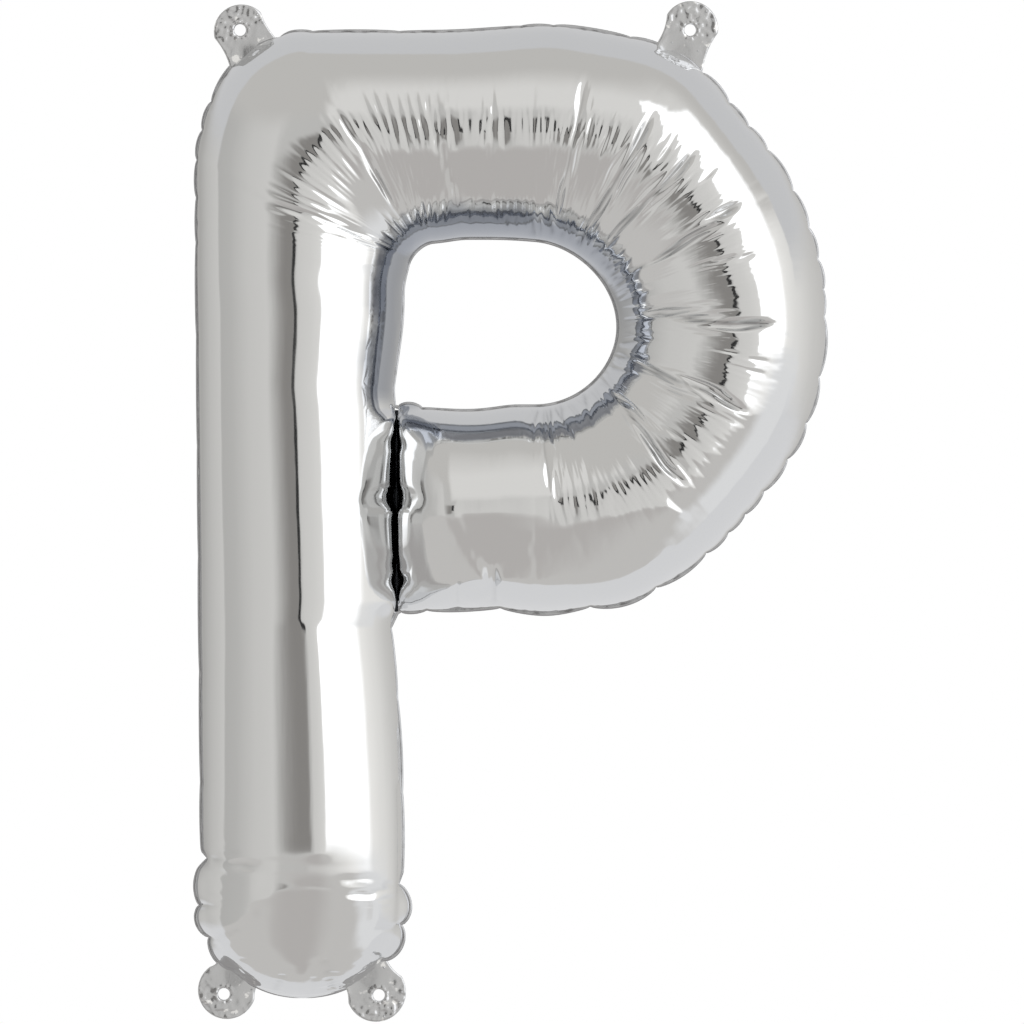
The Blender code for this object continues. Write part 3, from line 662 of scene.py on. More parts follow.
def flattenFacets(grid):
    isFront = np.arange(grid.shape[1]) < film["across"]
    for corners, (turn, tip), flatness in facets:
        x, y, z = grid[:, :, 0], grid[:, :, 1], grid[:, :, 2]
        share = facetShare(x, z, corners) * isFront
        picked = share > 0.05
        weight = share[picked]
        middleX, middleZ = np.average(x[picked], weights=weight), np.average(z[picked], weights=weight)
        terms = np.stack([np.ones(weight.size), x[picked] - middleX, z[picked] - middleZ], 1)
        height, slopeX, slopeZ = np.linalg.lstsq(terms * weight[:, None], y[picked] * weight, rcond=None)[0]
        slopeX = math.tan(math.atan(slopeX) + math.radians(turn))
        slopeZ = math.tan(math.atan(slopeZ) + math.radians(tip))
        flat = height + slopeX * (x - middleX) + slopeZ * (z - middleZ)
        grid[:, :, 1] += share * flatness * (flat - y)


def gridNormals(grid):
    across = np.roll(grid, -1, axis=1) - np.roll(grid, 1, axis=1)
    along = np.empty_like(grid)
    along[1:-1] = grid[2:] - grid[:-2]
    along[0] = grid[1] - grid[0]
    along[-1] = grid[-1] - grid[-2]
    return np.cross(across, along) * 0.25


def nearPath(x, z, points):
    lengths = [math.dist(a, b) for a, b in zip(points, points[1:])]
    total, done = sum(lengths), 0.0
    far = np.full(x.shape, 1e9)
    share = np.zeros(x.shape)
    for (a, b), length in zip(zip(points, points[1:]), lengths):
        dx, dz = (b[0] - a[0]) / length, (b[1] - a[1]) / length
        along = (x - a[0]) * dx + (z - a[1]) * dz
        past = np.maximum(np.maximum(-along, along - length), 0)
        distance = np.hypot((x - a[0]) * dz - (z - a[1]) * dx, past)
        closer = distance < far
        far = np.where(closer, distance, far)
        share = np.where(closer, (done + np.clip(along, 0, length)) / total, share)
        done += length
    return share, far


def creaseDents(grid, creases, broad):
    x, z = grid[:, :, 0], grid[:, :, 2]
    dent = np.zeros(grid.shape[:2])
    for points, depth, width in creases:
        share, far = nearPath(x, z, points)
        taper = smoothStep(*film["creaseTaper"], share) * smoothStep(*film["creaseTaper"], 1 - share)
        # widest at its outer end
        wide = width * (1.9 - 1.2 * share)
        dent = np.maximum(dent, depth * np.exp(-far / wide) * taper)
    for points, depth, width in broad:
        share, far = nearPath(x, z, points)
        # strongest at its middle
        dent = dent + depth * np.exp(-far / width) * (0.3 + 0.7 * np.sin(math.pi * share))
    return dent


# fine folds pressed in after the film has settled. A row gives its first place, its last and the step,
# as an angle or as x, and a pair is the range that each fold's own value is drawn from
folds = {
    "sharpen": 0.32,            # share of a long crease's depth that stays sharp
    "sharpWidth": 0.5,          # and of its width
    "bowlWidth": 0.75,          # the bowl's long creases are narrower than they are listed
    "comb": {                   # short folds beside the long ones, all round the bowl
        "row": (-86, 96, 2.1), "shake": (-0.7, 0.7), "start": (74, 88), "lean": (-1.2, 1.2),
        "length": (10, 26), "depth": (0.04, 0.13), "width": (0.6, 1.0)},
    "seam": {                   # crumples along the hole's seam
        "row": (-90, 92, 3.3), "shake": (-1.6, 1.6), "start": 30.8, "lean": (-8, 8),
        "end": (36, 45), "depth": (0.25, 0.8), "width": (0.6, 1.1)},
    "gash": {                   # lens-shaped gashes on the lower right
        "row": (-27, -47, -1.75), "start": (72, 86), "lean": 1, "length": (8, 13),
        "depth": (0.15, 0.35), "width": 0.8},
    "corner": {                 # comb in the upper left corner, aimed at the hole's corner
        "centre": (-12.9, -84.6), "row": (126, 161, 2.7), "shake": (-0.5, 0.5),
        "start": (58, 66), "end": (35, 41), "depth": (0.15, 0.55), "width": 0.7},
    "top": {                    # crumples along the top of the hole
        "row": (-12, 25, 1.7), "start": (-72, -69), "lean": (-1, 1), "length": (6, 10),
        "depth": (0.25, 0.8), "width": 0.5},
    "holeCorner": {             # and round its upper left corner
        "row": (96, 166, 8), "shake": (-2, 2), "start": 13, "end": (19, 24),
        "depth": (0.25, 0.8), "width": 0.5},
    "slanted": {"depth": 0.5, "width": 0.7},
    "bar": {                    # fine wrinkles along the rest of the top bar
        "row": (-8, 37, 2.3), "shake": (-0.7, 0.7), "start": (-28, -23), "end": (-44, -37),
        "depth": (0.03, 0.13), "width": (0.5, 0.8)},
    "arm": {                    # upright wrinkles across the arm's fullest line, which rises to the right
        "row": (35, 74, 1.9), "shake": (-0.6, 0.6), "start": -176, "rises": 50, "rise": 0.2,
        "startShake": (-1.5, 1.5), "lean": -1, "length": (12, 19), "depth": (0.12, 0.3), "width": 0.7},
    "back": {                   # long creases of the back's bowl, which is not in the photograph
        "row": (-80, 92, 13.5), "shake": (-3, 3), "start": (82, 88), "lean": (-3, 3), "end": 35,
        "depth": (2.0, 3.0), "width": 1.6},
}
# slanted folds of the top bar near the corner
barFolds = [
    [(-30.8, -38), (-36.5, -26)], [(-27.4, -39.5), (-32.5, -24.6)], [(-23.9, -42.8), (-28.4, -24.6)],
    [(-19.9, -43.8), (-24.6, -25)], [(-17, -42), (-21.1, -25)], [(-14, -40.3), (-17.8, -24.2)],
    [(-8.4, -48.5), (-14.1, -23.5)], [(-7.6, -36.8), (-10.8, -25)], [(-2.7, -43.8), (-5.5, -31)],
    [(14.2, -43.5), (13.8, -33)],
]
# sharp ridge where two panels of the arm meet
crestRidges = [([(-22, -169), (-6, -172), (28, -172.5)], -0.9, 3.0)]


def sharpened(creases):
    depthShare, widthShare = folds["sharpen"], folds["sharpWidth"]
    return [(points, depth * depthShare, width * widthShare) for points, depth, width in creases]


def mainCreases():
    creases = []
    for places, depth, width in bowlCreases:
        points = [polarPoint(*place) for place in places]
        creases.append((points, depth, width * folds["bowlWidth"]))
    return creases + plainCreases


def bowlComb(rng):
    creases = []
    comb = folds["comb"]
    for angle in np.arange(*comb["row"]):
        turn = angle + rng.uniform(*comb["shake"])
        start = rng.uniform(*comb["start"])
        end = polarPoint(turn + rng.uniform(*comb["lean"]), start - rng.uniform(*comb["length"]))
        depth, width = rng.uniform(*comb["depth"]), rng.uniform(*comb["width"])
        creases.append(([polarPoint(turn, start), end], depth, width))
    seam = folds["seam"]
    for angle in np.arange(*seam["row"]):
        turn = angle + rng.uniform(*seam["shake"])
        end = polarPoint(turn + rng.uniform(*seam["lean"]), rng.uniform(*seam["end"]))
        depth, width = rng.uniform(*seam["depth"]), rng.uniform(*seam["width"])
        creases.append(([polarPoint(turn, seam["start"]), end], depth, width))
    return creases


def fineFolds(rng):
    creases = sharpened(mainCreases()) + bowlComb(rng)
    gash = folds["gash"]
    for angle in np.arange(*gash["row"]):
        start = rng.uniform(*gash["start"])
        end = polarPoint(angle + gash["lean"], start - rng.uniform(*gash["length"]))
        creases.append(([polarPoint(angle, start), end], rng.uniform(*gash["depth"]), gash["width"]))
    corner = folds["corner"]
    centre = corner["centre"]
    for angle in np.arange(*corner["row"]):
        turn = angle + rng.uniform(*corner["shake"])
        reach = rng.uniform(*corner["start"]), rng.uniform(*corner["end"])
        points = [pointAround(centre, turn, radius) for radius in reach]
        creases.append((points, rng.uniform(*corner["depth"]), corner["width"]))
    top = folds["top"]
    for x in np.arange(*top["row"]):
        start = rng.uniform(*top["start"])
        end = (x + rng.uniform(*top["lean"]), start + rng.uniform(*top["length"]))
        creases.append(([(x, start), end], rng.uniform(*top["depth"]), top["width"]))
    corner = folds["holeCorner"]
    for angle in np.arange(*corner["row"]):
        turn = angle + rng.uniform(*corner["shake"])
        reach = corner["start"], rng.uniform(*corner["end"])
        points = [pointAround(centre, turn, radius) for radius in reach]
        creases.append((points, rng.uniform(*corner["depth"]), corner["width"]))
    creases += [(points, folds["slanted"]["depth"], folds["slanted"]["width"]) for points in barFolds]
    bar = folds["bar"]
    for x in np.arange(*bar["row"]):
        place = x + rng.uniform(*bar["shake"])
        points = [(place, rng.uniform(*bar["start"])), (place, rng.uniform(*bar["end"]))]
        creases.append((points, rng.uniform(*bar["depth"]), rng.uniform(*bar["width"])))
    arm = folds["arm"]
    for x in np.arange(*arm["row"]):
        start = arm["start"] + arm["rise"] * max(0, x - arm["rises"]) + rng.uniform(*arm["startShake"])
        points = [(x + rng.uniform(*arm["shake"]), start),
                  (x + arm["lean"], start + rng.uniform(*arm["length"]))]
        creases.append((points, rng.uniform(*arm["depth"]), arm["width"]))
    return creases


def backMain(rng):
    creases = []
    back = folds["back"]
    for angle in np.arange(*back["row"]):
        turn = angle + rng.uniform(*back["shake"])
        start = polarPoint(turn, rng.uniform(*back["start"]))
        end = polarPoint(turn + rng.uniform(*back["lean"]), back["end"])
        creases.append(([start, end], rng.uniform(*back["depth"]), back["width"]))
    return creases + plainCreases


# the film as a net of points: each step presses it outwards, then sets the lengths between them right again,
# in two turns for each kind of tie, so that no point is in two pairs at once
class Relaxer:
    def __init__(self, grid, ties, pinned):
        self.grid = grid.astype(np.float32)
        self.free = np.where(pinned, 0.0, 1.0).astype(np.float32)
        self.speed = np.zeros_like(self.grid)
        self.ties = ties

    def fix(self, a, b, freeA, freeB, length, pull, push):
        gap = b - a
        size = np.sqrt((gap * gap).sum(-1)) + 1e-9
        both = np.maximum(freeA + freeB, 1.0)
        scale = (size - length) / (size * both) * np.where(size > length, pull, push)
        a += gap * (scale * freeA)[..., None]
        b -= gap * (scale * freeB)[..., None]
        return a, b

    def project(self):
        grid, free = self.grid, self.free
        rows, columns = free.shape
        for di, dj, length, pull, push in self.ties:
            for turn in (0, 1):
                if di == 0:
                    moved = np.roll(grid, -turn * dj, axis=1)
                    freed = np.roll(free, -turn * dj, axis=1)
                    lengths = np.roll(length, -turn * dj, axis=1)
                    pairs = columns // (2 * dj)
                    shape = (rows, pairs, 2, dj)
                    block = moved[:, :pairs * 2 * dj].reshape(*shape, 3)
                    fb = freed[:, :pairs * 2 * dj].reshape(shape)
                    lb = lengths[:, :pairs * 2 * dj].reshape(shape)[:, :, 0]
                    self.fix(block[:, :, 0], block[:, :, 1], fb[:, :, 0], fb[:, :, 1], lb, pull, push)
                    moved[:, :pairs * 2 * dj] = block.reshape(rows, pairs * 2 * dj, 3)
                    grid[:] = np.roll(moved, turn * dj, axis=1)
                else:
                    first = np.arange(rows - di)
                    first = first[(first // di) % 2 == turn]
                    a, b = grid[first], np.roll(grid[first + di], -dj, axis=1)
                    fa, fb = free[first], np.roll(free[first + di], -dj, axis=1)
                    a, b = self.fix(a, b, fa, fb, length[first], pull, push)
                    grid[first] = a
                    grid[first + di] = np.roll(b, dj, axis=1)

    def run(self, kinds):
        weld = letter["weldX"]
        stem, arm = kinds == "weld", kinds == "arm"
        for _ in range(film["steps"]):
            before = self.grid.copy()
            self.speed *= film["damping"]
            move = self.speed + gridNormals(self.grid) * film["pressure"]
            size = np.sqrt((move * move).sum(-1, keepdims=True)) + 1e-9
            move *= np.minimum(1, film["longestMove"] / size)
            self.grid += move * self.free[..., None]
            for _ in range(film["rounds"]):
                self.project()
            self.grid[stem, :, 0] = np.minimum(self.grid[stem, :, 0], weld - film["weldGap"])
            self.grid[arm, :, 0] = np.maximum(self.grid[arm, :, 0], weld + film["weldGap"])
            self.speed = self.grid - before
        return self.grid


def netEdges(points, di, dj):
    moved = np.roll(points, -dj, axis=1)
    return (moved[di:] - points[:-di]) if di else (moved - points)


def restTies(smooth, creased, excess, kinds):
    alongSmooth = np.linalg.norm(netEdges(smooth, 1, 0), axis=2)
    alongLong = np.linalg.norm(netEdges(creased, 1, 0), axis=2) * (1 + excess[:-1])
    ratio = alongLong / np.maximum(alongSmooth, 1e-6)
    pinched = np.isin(kinds, ("arm", "weld"))[:, None]
    ties = []
    # how many rows and columns apart, how strongly it shortens when too long and lengthens when too short
    for di, dj, pull, push in (
        (0, 1, 1.0, 1.0), (1, 0, 1.0, 1.0), (1, 1, 0.5, 0.5), (1, -1, 0.5, 0.5),
        (0, 2, 1.0, film["bendAcross"]), (2, 0, 1.0, film["bendAlong"]),
        (0, 4, 1.0, 0.0), (4, 0, 1.0, 0.0), (8, 0, 1.0, 0.0),
    ):
        if di == 0:
            length = np.linalg.norm(netEdges(smooth, 0, dj), axis=2)
            length = np.where(pinched, np.linalg.norm(netEdges(creased, 0, dj), axis=2), length)
        else:
            stretch = ratio
            if di > 1:
                stretch = np.stack([ratio[k:len(ratio) - di + 1 + k] for k in range(di)]).mean(0)
            along = netEdges(smooth, di, 0)
            side = netEdges(smooth, di, dj) - along
            length = np.linalg.norm(along * stretch[..., None] + side, axis=2)
        ties.append((di, dj, length.astype(np.float32), pull, push))
    return ties


def excessField(kinds):
    half = film["across"]
    t = np.abs(((np.arange(2 * half) + half) % (2 * half)) - half) / half   # 0 outer seam, 1 inner seam
    t = np.broadcast_to(t, (len(kinds), 2 * half))
    curved = np.isin(kinds, ("bowl", "corner", "bar")).astype(float)
    curved = np.convolve(curved, np.ones(21) / 21, mode="same")[:, None]
    arm, end = (kinds == "arm")[:, None], (kinds == "end")[:, None]
    field = film["spareAll"] + curved * (film["spareInner"] * smoothStep(0.38, 0.8, t)
                                         + film["spareSeam"] * smoothStep(0.10, 0.0, t))
    field = field + arm * (film["spareArm"] * smoothStep(0.4, 0.8, t)
                           + film["spareSeam"] * smoothStep(0.12, 0.0, t))
    return field + end * film["spareEnd"]


def frontBack(front, back):
    half = film["across"]
    column = np.arange(2 * half)
    inside = np.minimum(column % half, half - column % half) / half
    return np.where(column < half, front, back) * smoothStep(0.0, 0.08, inside)


def pressIn(grid, dent):
    normal = gridNormals(grid)
    normal /= np.linalg.norm(normal, axis=2, keepdims=True) + 1e-9
    return grid - normal * dent[..., None]


def makeFilm():
    rng = np.random.default_rng(film["seed"])
    smooth, kinds = shapeFilm()
    half = film["across"]
    backLong = backMain(rng)
    dents = [creaseDents(smooth, creases, broadCreases) for creases in (mainCreases(), backLong)]
    creased = pressIn(smooth, frontBack(*dents))
    shake = rng.normal(0, film["roughness"], smooth.shape)
    pinned = np.zeros(smooth.shape[:2], bool)
    pinned[:, (0, half)] = True
    pinned[(0, -1), :] = True
    shake[pinned] = 0
    ties = restTies(smooth, creased, excessField(kinds), kinds)
    grid = Relaxer(creased + shake, ties, pinned).run(kinds).astype(float)
    narrowValley(grid)
    flattenFacets(grid)
    fine = frontBack(creaseDents(grid, fineFolds(rng), crestRidges),
                     creaseDents(grid, sharpened(backLong) + bowlComb(rng), []))
    grid = pressIn(grid, fine)
    # painted shade deep in each fine fold, from how deep that fold is pressed in
    paintedFoldShading = foil["foldShade"] * np.clip(fine / foil["foldDepth"], 0, 1) ** foil["foldPower"]
    return grid, {"byHole": shadeByHole(grid, kinds, rng), "paintedFoldShade": paintedFoldShading}


# how tightly the films close on each other beside the weld, by height
weldValley = [
    (-211, 0), (-206, 1.2), (-200.5, 0.8), (-198.4, 0.1), (-196.3, 0.6), (-191.5, 0.6), (-188.5, 1.3),
    (-173, 1.4), (-170.8, 0.6), (-168.5, 0), (-165.5, 0.4), (-151.2, 0.6), (-149, 0.4), (-146.2, 0.9),
    (-140, 1.2), (-136.5, 0),
]


def narrowValley(grid):
    heights, tightness = zip(*weldValley)
    tight = np.interp(grid[:, :, 2], heights, tightness, left=0, right=0)
    away = grid[:, :, 0] - letter["weldX"]
    share = np.clip(np.abs(away) / film["valleyReach"], 0.001, 1)
    grid[:, :, 0] = letter["weldX"] + away * share ** (tight * (1 - share))


def shadeByHole(grid, kinds, rng):
    # 1 on the film that faces the hole, whose mirror image is the shaded far side of the hole
    seam = grid[:, film["across"]]
    span = np.hypot(grid[:, :, 0] - seam[:, None, 0], grid[:, :, 2] - seam[:, None, 2])
    beside = np.isin(kinds, holeKinds).astype(float)
    beside = np.convolve(beside, np.ones(9) / 9, mode="same")
    reach = np.where(kinds == "bowl", foil["bowlBand"], foil["holeBand"])
    reach = np.convolve(np.pad(reach, 20, mode="edge"), np.ones(41) / 41, mode="valid")
    # a ragged edge: a new reach every fifth cell
    ragged = rng.uniform(*foil["shadeRagged"], len(kinds) // 5 + 2)
    reach = reach * np.interp(np.arange(len(kinds)) / 5, np.arange(len(ragged)), ragged)
    # deepest on the left and the top of the hole
    x, z = grid[:, :, 0], grid[:, :, 2]
    left = smoothStep(*foil["shadeLeft"], x) * smoothStep(*foil["shadeLeftFoot"], z)
    depth = np.maximum(smoothStep(*foil["shadeRise"], z), left)
    return depth * beside[:, None] * smoothStep(*foil["shadeEdge"], span / reach[:, None])


def filmPiece(name, grid, shades, columns):
    rows = grid[:, columns]
    count, width = rows.shape[:2]
    index = np.arange(count * width).reshape(count, width)
    quads = np.stack([index[:-1, :-1], index[:-1, 1:], index[1:, 1:], index[1:, :-1]], -1).reshape(-1, 4)
    piece = newPiece(name, (rows.reshape(-1, 3) * mm).tolist(), quads.tolist())
    for label, values in shades.items():
        layer = piece.data.attributes.new(label, "FLOAT", "POINT")
        layer.data.foreach_set("value", values[:, columns].astype(np.float32).ravel())
    shape = bmesh.new()
    shape.from_mesh(piece.data)
    bmesh.ops.remove_doubles(shape, verts=shape.verts, dist=0.00001)
    shape.to_mesh(piece.data)
    shape.free()
    return piece


foil = {
    "colour": "#e7e8e9",
    "shadedColour": "#abafb7",      # the shaded band by the hole, and how wide it is in mm
    "holeBand": 9.0, "bowlBand": 7.0,
    "shadeEdge": (1.35, 0.85),      # shares of that width where it fades out and where it is full
    "shadeRagged": (0.75, 1.25),
    "shadeRise": (-150, -66),       # heights between which it gets full
    "shadeLeft": (-12, -19),        # x of the hole's left side, where it is full further down
    "shadeLeftFoot": (-138, -132),
    # painted shade: the foil's colour goes towards this near-black deep in the fine folds, full at the given
    # depth
    "paintedFoldShadeColour": "#1f2227", "foldDepth": 0.9, "foldShade": 0.6, "foldPower": 2.5,  # deep in a fold
    "roughness": 0.06, "haze": (0.7, 1.4),                          # and its least and most, as shares
    "streakHeight": 0.03, "streakSize": 4.0, "streakStretch": 0.12,
    "rippleHeight": 0.02, "rippleSize": 9.0,
}


def foilMaterial():
    # mirror-bright film: sharp reflections, faint streaks from its rolling, a slight all-over unevenness, and
    # painted shade deep in its folds
    material, tree, shader, place = newMaterial("metallised nylon foil", 1.0, foil["roughness"])
    byHole = addNode(tree, "ShaderNodeAttribute", {"attribute_name": "byHole"})
    tone = addNode(tree, "ShaderNodeMix", {"data_type": "RGBA"},
                   {6: hexColour(foil["colour"]), 7: hexColour(foil["shadedColour"])},
                   {0: byHole.outputs["Fac"]})
    # painted shade: the colour goes towards near-black deep in the fine folds
    paintedFoldShade = addNode(tree, "ShaderNodeAttribute", {"attribute_name": "paintedFoldShade"})
    paintedFoldShading = addNode(tree, "ShaderNodeMix", {"data_type": "RGBA"}, {7: hexColour(foil["paintedFoldShadeColour"])},
                     {0: paintedFoldShade.outputs["Fac"], 6: tone.outputs[2]})
    tree.links.new(paintedFoldShading.outputs[2], shader.inputs["Base Color"])
    drawn = addNode(tree, "ShaderNodeMapping", None, {"Scale": (1.0, 1.0, foil["streakStretch"])},
                    {"Vector": place})
    streaks = addNode(tree, "ShaderNodeTexNoise", None,
                      {"Scale": 1 / (foil["streakSize"] * mm), "Detail": 2.0}, {"Vector": drawn.outputs[0]})
    ripples = addNode(tree, "ShaderNodeTexNoise", None,
                      {"Scale": 1 / (foil["rippleSize"] * mm), "Detail": 1.0}, {"Vector": place})
    least, most = (foil["roughness"] * share for share in foil["haze"])
    haze = addNode(tree, "ShaderNodeMapRange", None, {"To Min": least, "To Max": most},
                   {"Value": streaks.outputs["Fac"]})
    tree.links.new(haze.outputs[0], shader.inputs["Roughness"])
    first = addNode(tree, "ShaderNodeBump", None, {"Strength": 1.0, "Distance": foil["streakHeight"] * mm},
                    {"Height": streaks.outputs["Fac"]})
    second = addNode(tree, "ShaderNodeBump", None, {"Strength": 1.0, "Distance": foil["rippleHeight"] * mm},
                     {"Height": ripples.outputs["Fac"], "Normal": first.outputs[0]})
    tree.links.new(second.outputs[0], shader.inputs["Normal"])
    return material


filmGrid, filmShades = makeFilm()
halfCount = film["across"]
foilLook = foilMaterial()
filmPieces = {}
for pieceName, node, slot, columns in (
    ("frontFilm", "front_film", "front_foil", list(range(0, halfCount + 1))),
    ("backFilm", "back_film", "back_foil", list(range(halfCount, 2 * halfCount)) + [0]),
):
    piece = filmPiece(pieceName, filmGrid, filmShades, columns)
    piece.data.materials.append(foilLook)
    rounding = piece.modifiers.new("rounding", "SUBSURF")
    rounding.levels = rounding.render_levels = 1
    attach(piece, "root")
    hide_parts(node)
    filmPieces[pieceName] = piece
print("films made", filmGrid.shape)


# welded margins: a thin flattened ribbon along each seam

margin = {
    "width": 1.5, "holeWidth": 1.3, "weldWidth": 1.6,
    "weldTop": -136.8, "weldBottom": -209.4, "loopDip": 0.6,
    "thickness": 0.4, "pucker": 0.25, "puckerSize": 6.0, "spacing": 0.9, "seed": 4.0,
    # the margin's own colour, then the painted shade along its edges and the painted shade of the weld's
    # valley
    "colour": "#bfc0c3", "edgeShadeColour": "#57585c", "weldShadeColour": "#2c2e32",
    "edgeShadeBand": (0.36, 0.5),        # it darkens between these shares of its width from the middle
    "roughness": 0.2, "crimpHeight": 0.012, "crimpSize": 1.6,
}


def ribbonTree():
    tree, given = newTree("seamRibbon", [
        ("Width", "Float", 0.0026), ("Thickness", "Float", 0.0004), ("Pucker", "Float", 0.0003),
        ("Pucker Size", "Float", 0.006), ("Spacing", "Float", 0.001), ("Seed", "Float", 0.0),
        ("Material", "Material", None)])
    path = addNode(tree, "GeometryNodeMeshToCurve", links={"Mesh": given["Geometry"]})
    even = addNode(tree, "GeometryNodeResampleCurve", {"mode": "LENGTH"}, None,
                   {"Curve": path.outputs[0], "Length": given["Spacing"]})
    level = addNode(tree, "GeometryNodeSetCurveNormal", {"mode": "FREE"}, {"Normal": (0, 1, 0)},
                    {"Curve": even.outputs[0]})
    ring = addNode(tree, "GeometryNodeCurvePrimitiveCircle", None, {"Resolution": 12, "Radius": 0.5})
    at = addNode(tree, "GeometryNodeInputPosition")
    parts = addNode(tree, "ShaderNodeSeparateXYZ", links={"Vector": at.outputs[0]})
    edge = addNode(tree, "ShaderNodeMath", {"operation": "ABSOLUTE"}, None, {0: parts.outputs["Y"]})
    # how far across the ribbon a point lies, which the margin's material uses for its painted edge shade
    marked = addNode(tree, "GeometryNodeStoreNamedAttribute", {"data_type": "FLOAT", "domain": "POINT"},
                     {"Name": "edge"}, {"Geometry": ring.outputs["Curve"], "Value": edge.outputs[0]})
    size = addNode(tree, "ShaderNodeCombineXYZ", None, {"Z": 1.0},
                   {"X": given["Thickness"], "Y": given["Width"]})
    flat = addNode(tree, "GeometryNodeTransform", None, None,
                   {"Geometry": marked.outputs[0], "Scale": size.outputs[0]})
    body = addNode(tree, "GeometryNodeCurveToMesh", None, {"Fill Caps": True},
                   {"Curve": level.outputs[0], "Profile Curve": flat.outputs[0]})
    fine = addNode(tree, "ShaderNodeMath", {"operation": "DIVIDE"}, {0: 1.0}, {1: given["Pucker Size"]})
    waves = addNode(tree, "ShaderNodeTexNoise", {"noise_dimensions": "4D"}, {"Detail": 2.0},
                    {"Vector": at.outputs[0], "W": given["Seed"], "Scale": fine.outputs[0]})
    # the noise keeps near its middle, so it is stretched to go about one pucker each way
    swing = addNode(tree, "ShaderNodeMapRange", None, {"To Min": -2.0, "To Max": 2.0},
                    {"Value": waves.outputs["Fac"]})
    lift = addNode(tree, "ShaderNodeMath", {"operation": "MULTIPLY"}, None,
                   {0: swing.outputs[0], 1: given["Pucker"]})
    push = addNode(tree, "ShaderNodeCombineXYZ", links={"Y": lift.outputs[0]})
    moved = addNode(tree, "GeometryNodeSetPosition", None, None,
                    {"Geometry": body.outputs[0], "Offset": push.outputs[0]})
    finishTree(tree, moved.outputs[0], given["Material"])
    return tree


def marginMaterial(name, colour):
    # two films fused flat: duller than the body, finely crimped, with painted shade where its cut edge turns
    # away
    material, tree, shader, place = newMaterial(name, 1.0, margin["roughness"])
    # painted shade towards the ribbon's edges
    edge = addNode(tree, "ShaderNodeAttribute", {"attribute_name": "edge"})
    bright, dark = margin["edgeShadeBand"]
    band = addNode(tree, "ShaderNodeMapRange", {"interpolation_type": "SMOOTHSTEP"},
                   {"From Min": bright, "From Max": dark}, {"Value": edge.outputs["Fac"]})
    tone = addNode(tree, "ShaderNodeMix", {"data_type": "RGBA"},
                   {6: hexColour(colour), 7: hexColour(margin["edgeShadeColour"])}, {0: band.outputs[0]})
    tree.links.new(tone.outputs[2], shader.inputs["Base Color"])
    crimps = addNode(tree, "ShaderNodeTexNoise", None,
                     {"Scale": 1 / (margin["crimpSize"] * mm), "Detail": 1.0}, {"Vector": place})
    relief = addNode(tree, "ShaderNodeBump", None, {"Strength": 1.0, "Distance": margin["crimpHeight"] * mm},
                     {"Height": crimps.outputs["Fac"]})
    tree.links.new(relief.outputs[0], shader.inputs["Normal"])
    return material


def ribbonPiece(name, node, points, closed, tree, material, width):
    count = len(points)
    edges = [(k, k + 1) for k in range(count - 1)] + ([(count - 1, 0)] if closed else [])
    piece = newPiece(name, [(x * mm, 0.0, z * mm) for x, z in points], [], edges)
    giveNodes(piece, tree, {"Width": width * mm, "Thickness": margin["thickness"] * mm,
                            "Pucker": margin["pucker"] * mm, "Pucker Size": margin["puckerSize"] * mm,
                            "Spacing": margin["spacing"] * mm, "Seed": margin["seed"], "Material": material})
    toPlainMesh(piece)
    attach(piece, "root")
    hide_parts(node)


def buildMargins():
    tree, material = ribbonTree(), marginMaterial("heat-welded foil margin", margin["colour"])
    outer, inner, kinds = seamLines(1.0, 1.0)
    # up the outside, round the bowl and the arm, then down the stem's free side
    turn = (letter["weldX"], outer[-1][1] - margin["loopDip"])
    free = inner[np.isin(kinds, lowKinds)][1:]
    loop = np.concatenate([outer, [turn], free[::-1]])
    ribbonPiece("outerMargin", "outer_seam", loop, True, tree, material, margin["width"])
    hole = inner[np.isin(kinds, holeKinds)]
    ribbonPiece("counterMargin", "counter_seam", hole, True, tree, material, margin["holeWidth"])
    line = straight((letter["weldX"], margin["weldTop"]), (letter["weldX"], margin["weldBottom"]), 40)
    # the weld's ribbon is painted near-black, standing in for the shade of the valley between stem and arm
    dark = marginMaterial("heat-welded foil margin in painted valley shade", margin["weldShadeColour"])
    ribbonPiece("armWeld", "arm_weld", line, False, tree, dark, margin["weldWidth"])


buildMargins()
print("welded margins made")


# hanging tabs: punched plates of doubled film

# the node, then in mm the head's middle and radius, the hole's middle and the two ends of the foot
tabs = {
    "tabTopLeft": ("tab_top_left", (-80.5, -0.7), 9.9, (-81.0, 0.0), (-84.2, -15.2), (-66.6, -4.4)),
    "tabTopRight": ("tab_top_right", (81.2, 0.5), 9.9, (81.0, 0.0), (69.4, -4.2), (85.6, -14.2)),
    "tabBottomLeft": ("tab_bottom_left", (-85.7, -345.6), 10.4, (-86.8, -347.0),
                      (-75.2, -344.8), (-89.6, -336.0)),
    "tabBottomRight": ("tab_bottom_right", (-32.0, -346.3), 10.7, (-31.0, -347.4),
                       (-27.8, -335.4), (-43.0, -344.6)),
}
tabShape = {
    "holeRadius": 2.1, "thickness": 0.3, "rings": 16, "turns": 120,
    "flankTurn": 14,                # degrees before the tangent where a flank leaves the round head
    "waist": 0.13,                  # how far the flanks draw in, as a share of their length
    "footDepth": 2.6,               # how far the foot goes under the film
    "rumple": 0.5, "lean": 0.07,
    "waveScale": 0.22, "crumpleScale": 0.55, "raggedScale": 0.9,    # how fine each unevenness is
    "lip": 0.16, "lipRaggedness": 0.3, "lipPlace": 0.8, "lipWidth": 0.5,
    # beads of the weld: how many places they have, the share of those that has one, their sizes
    "dots": 15, "dotShare": 0.6, "dotSize": 0.33, "dotSpread": (0.7, 1.5),
    "dotInset": 1.5, "dotForward": 0.2, "seed": 3,
    # the film's grey, and the white of its painted glints
    "colour": "#cdced0", "glintColour": "#ffffff", "roughness": 0.16,
    "glintSize": 4.0, "glintBand": (0.60, 0.68),
    "grainSize": 1.6, "grainHeight": 0.03, "grainStrength": 0.4,
}


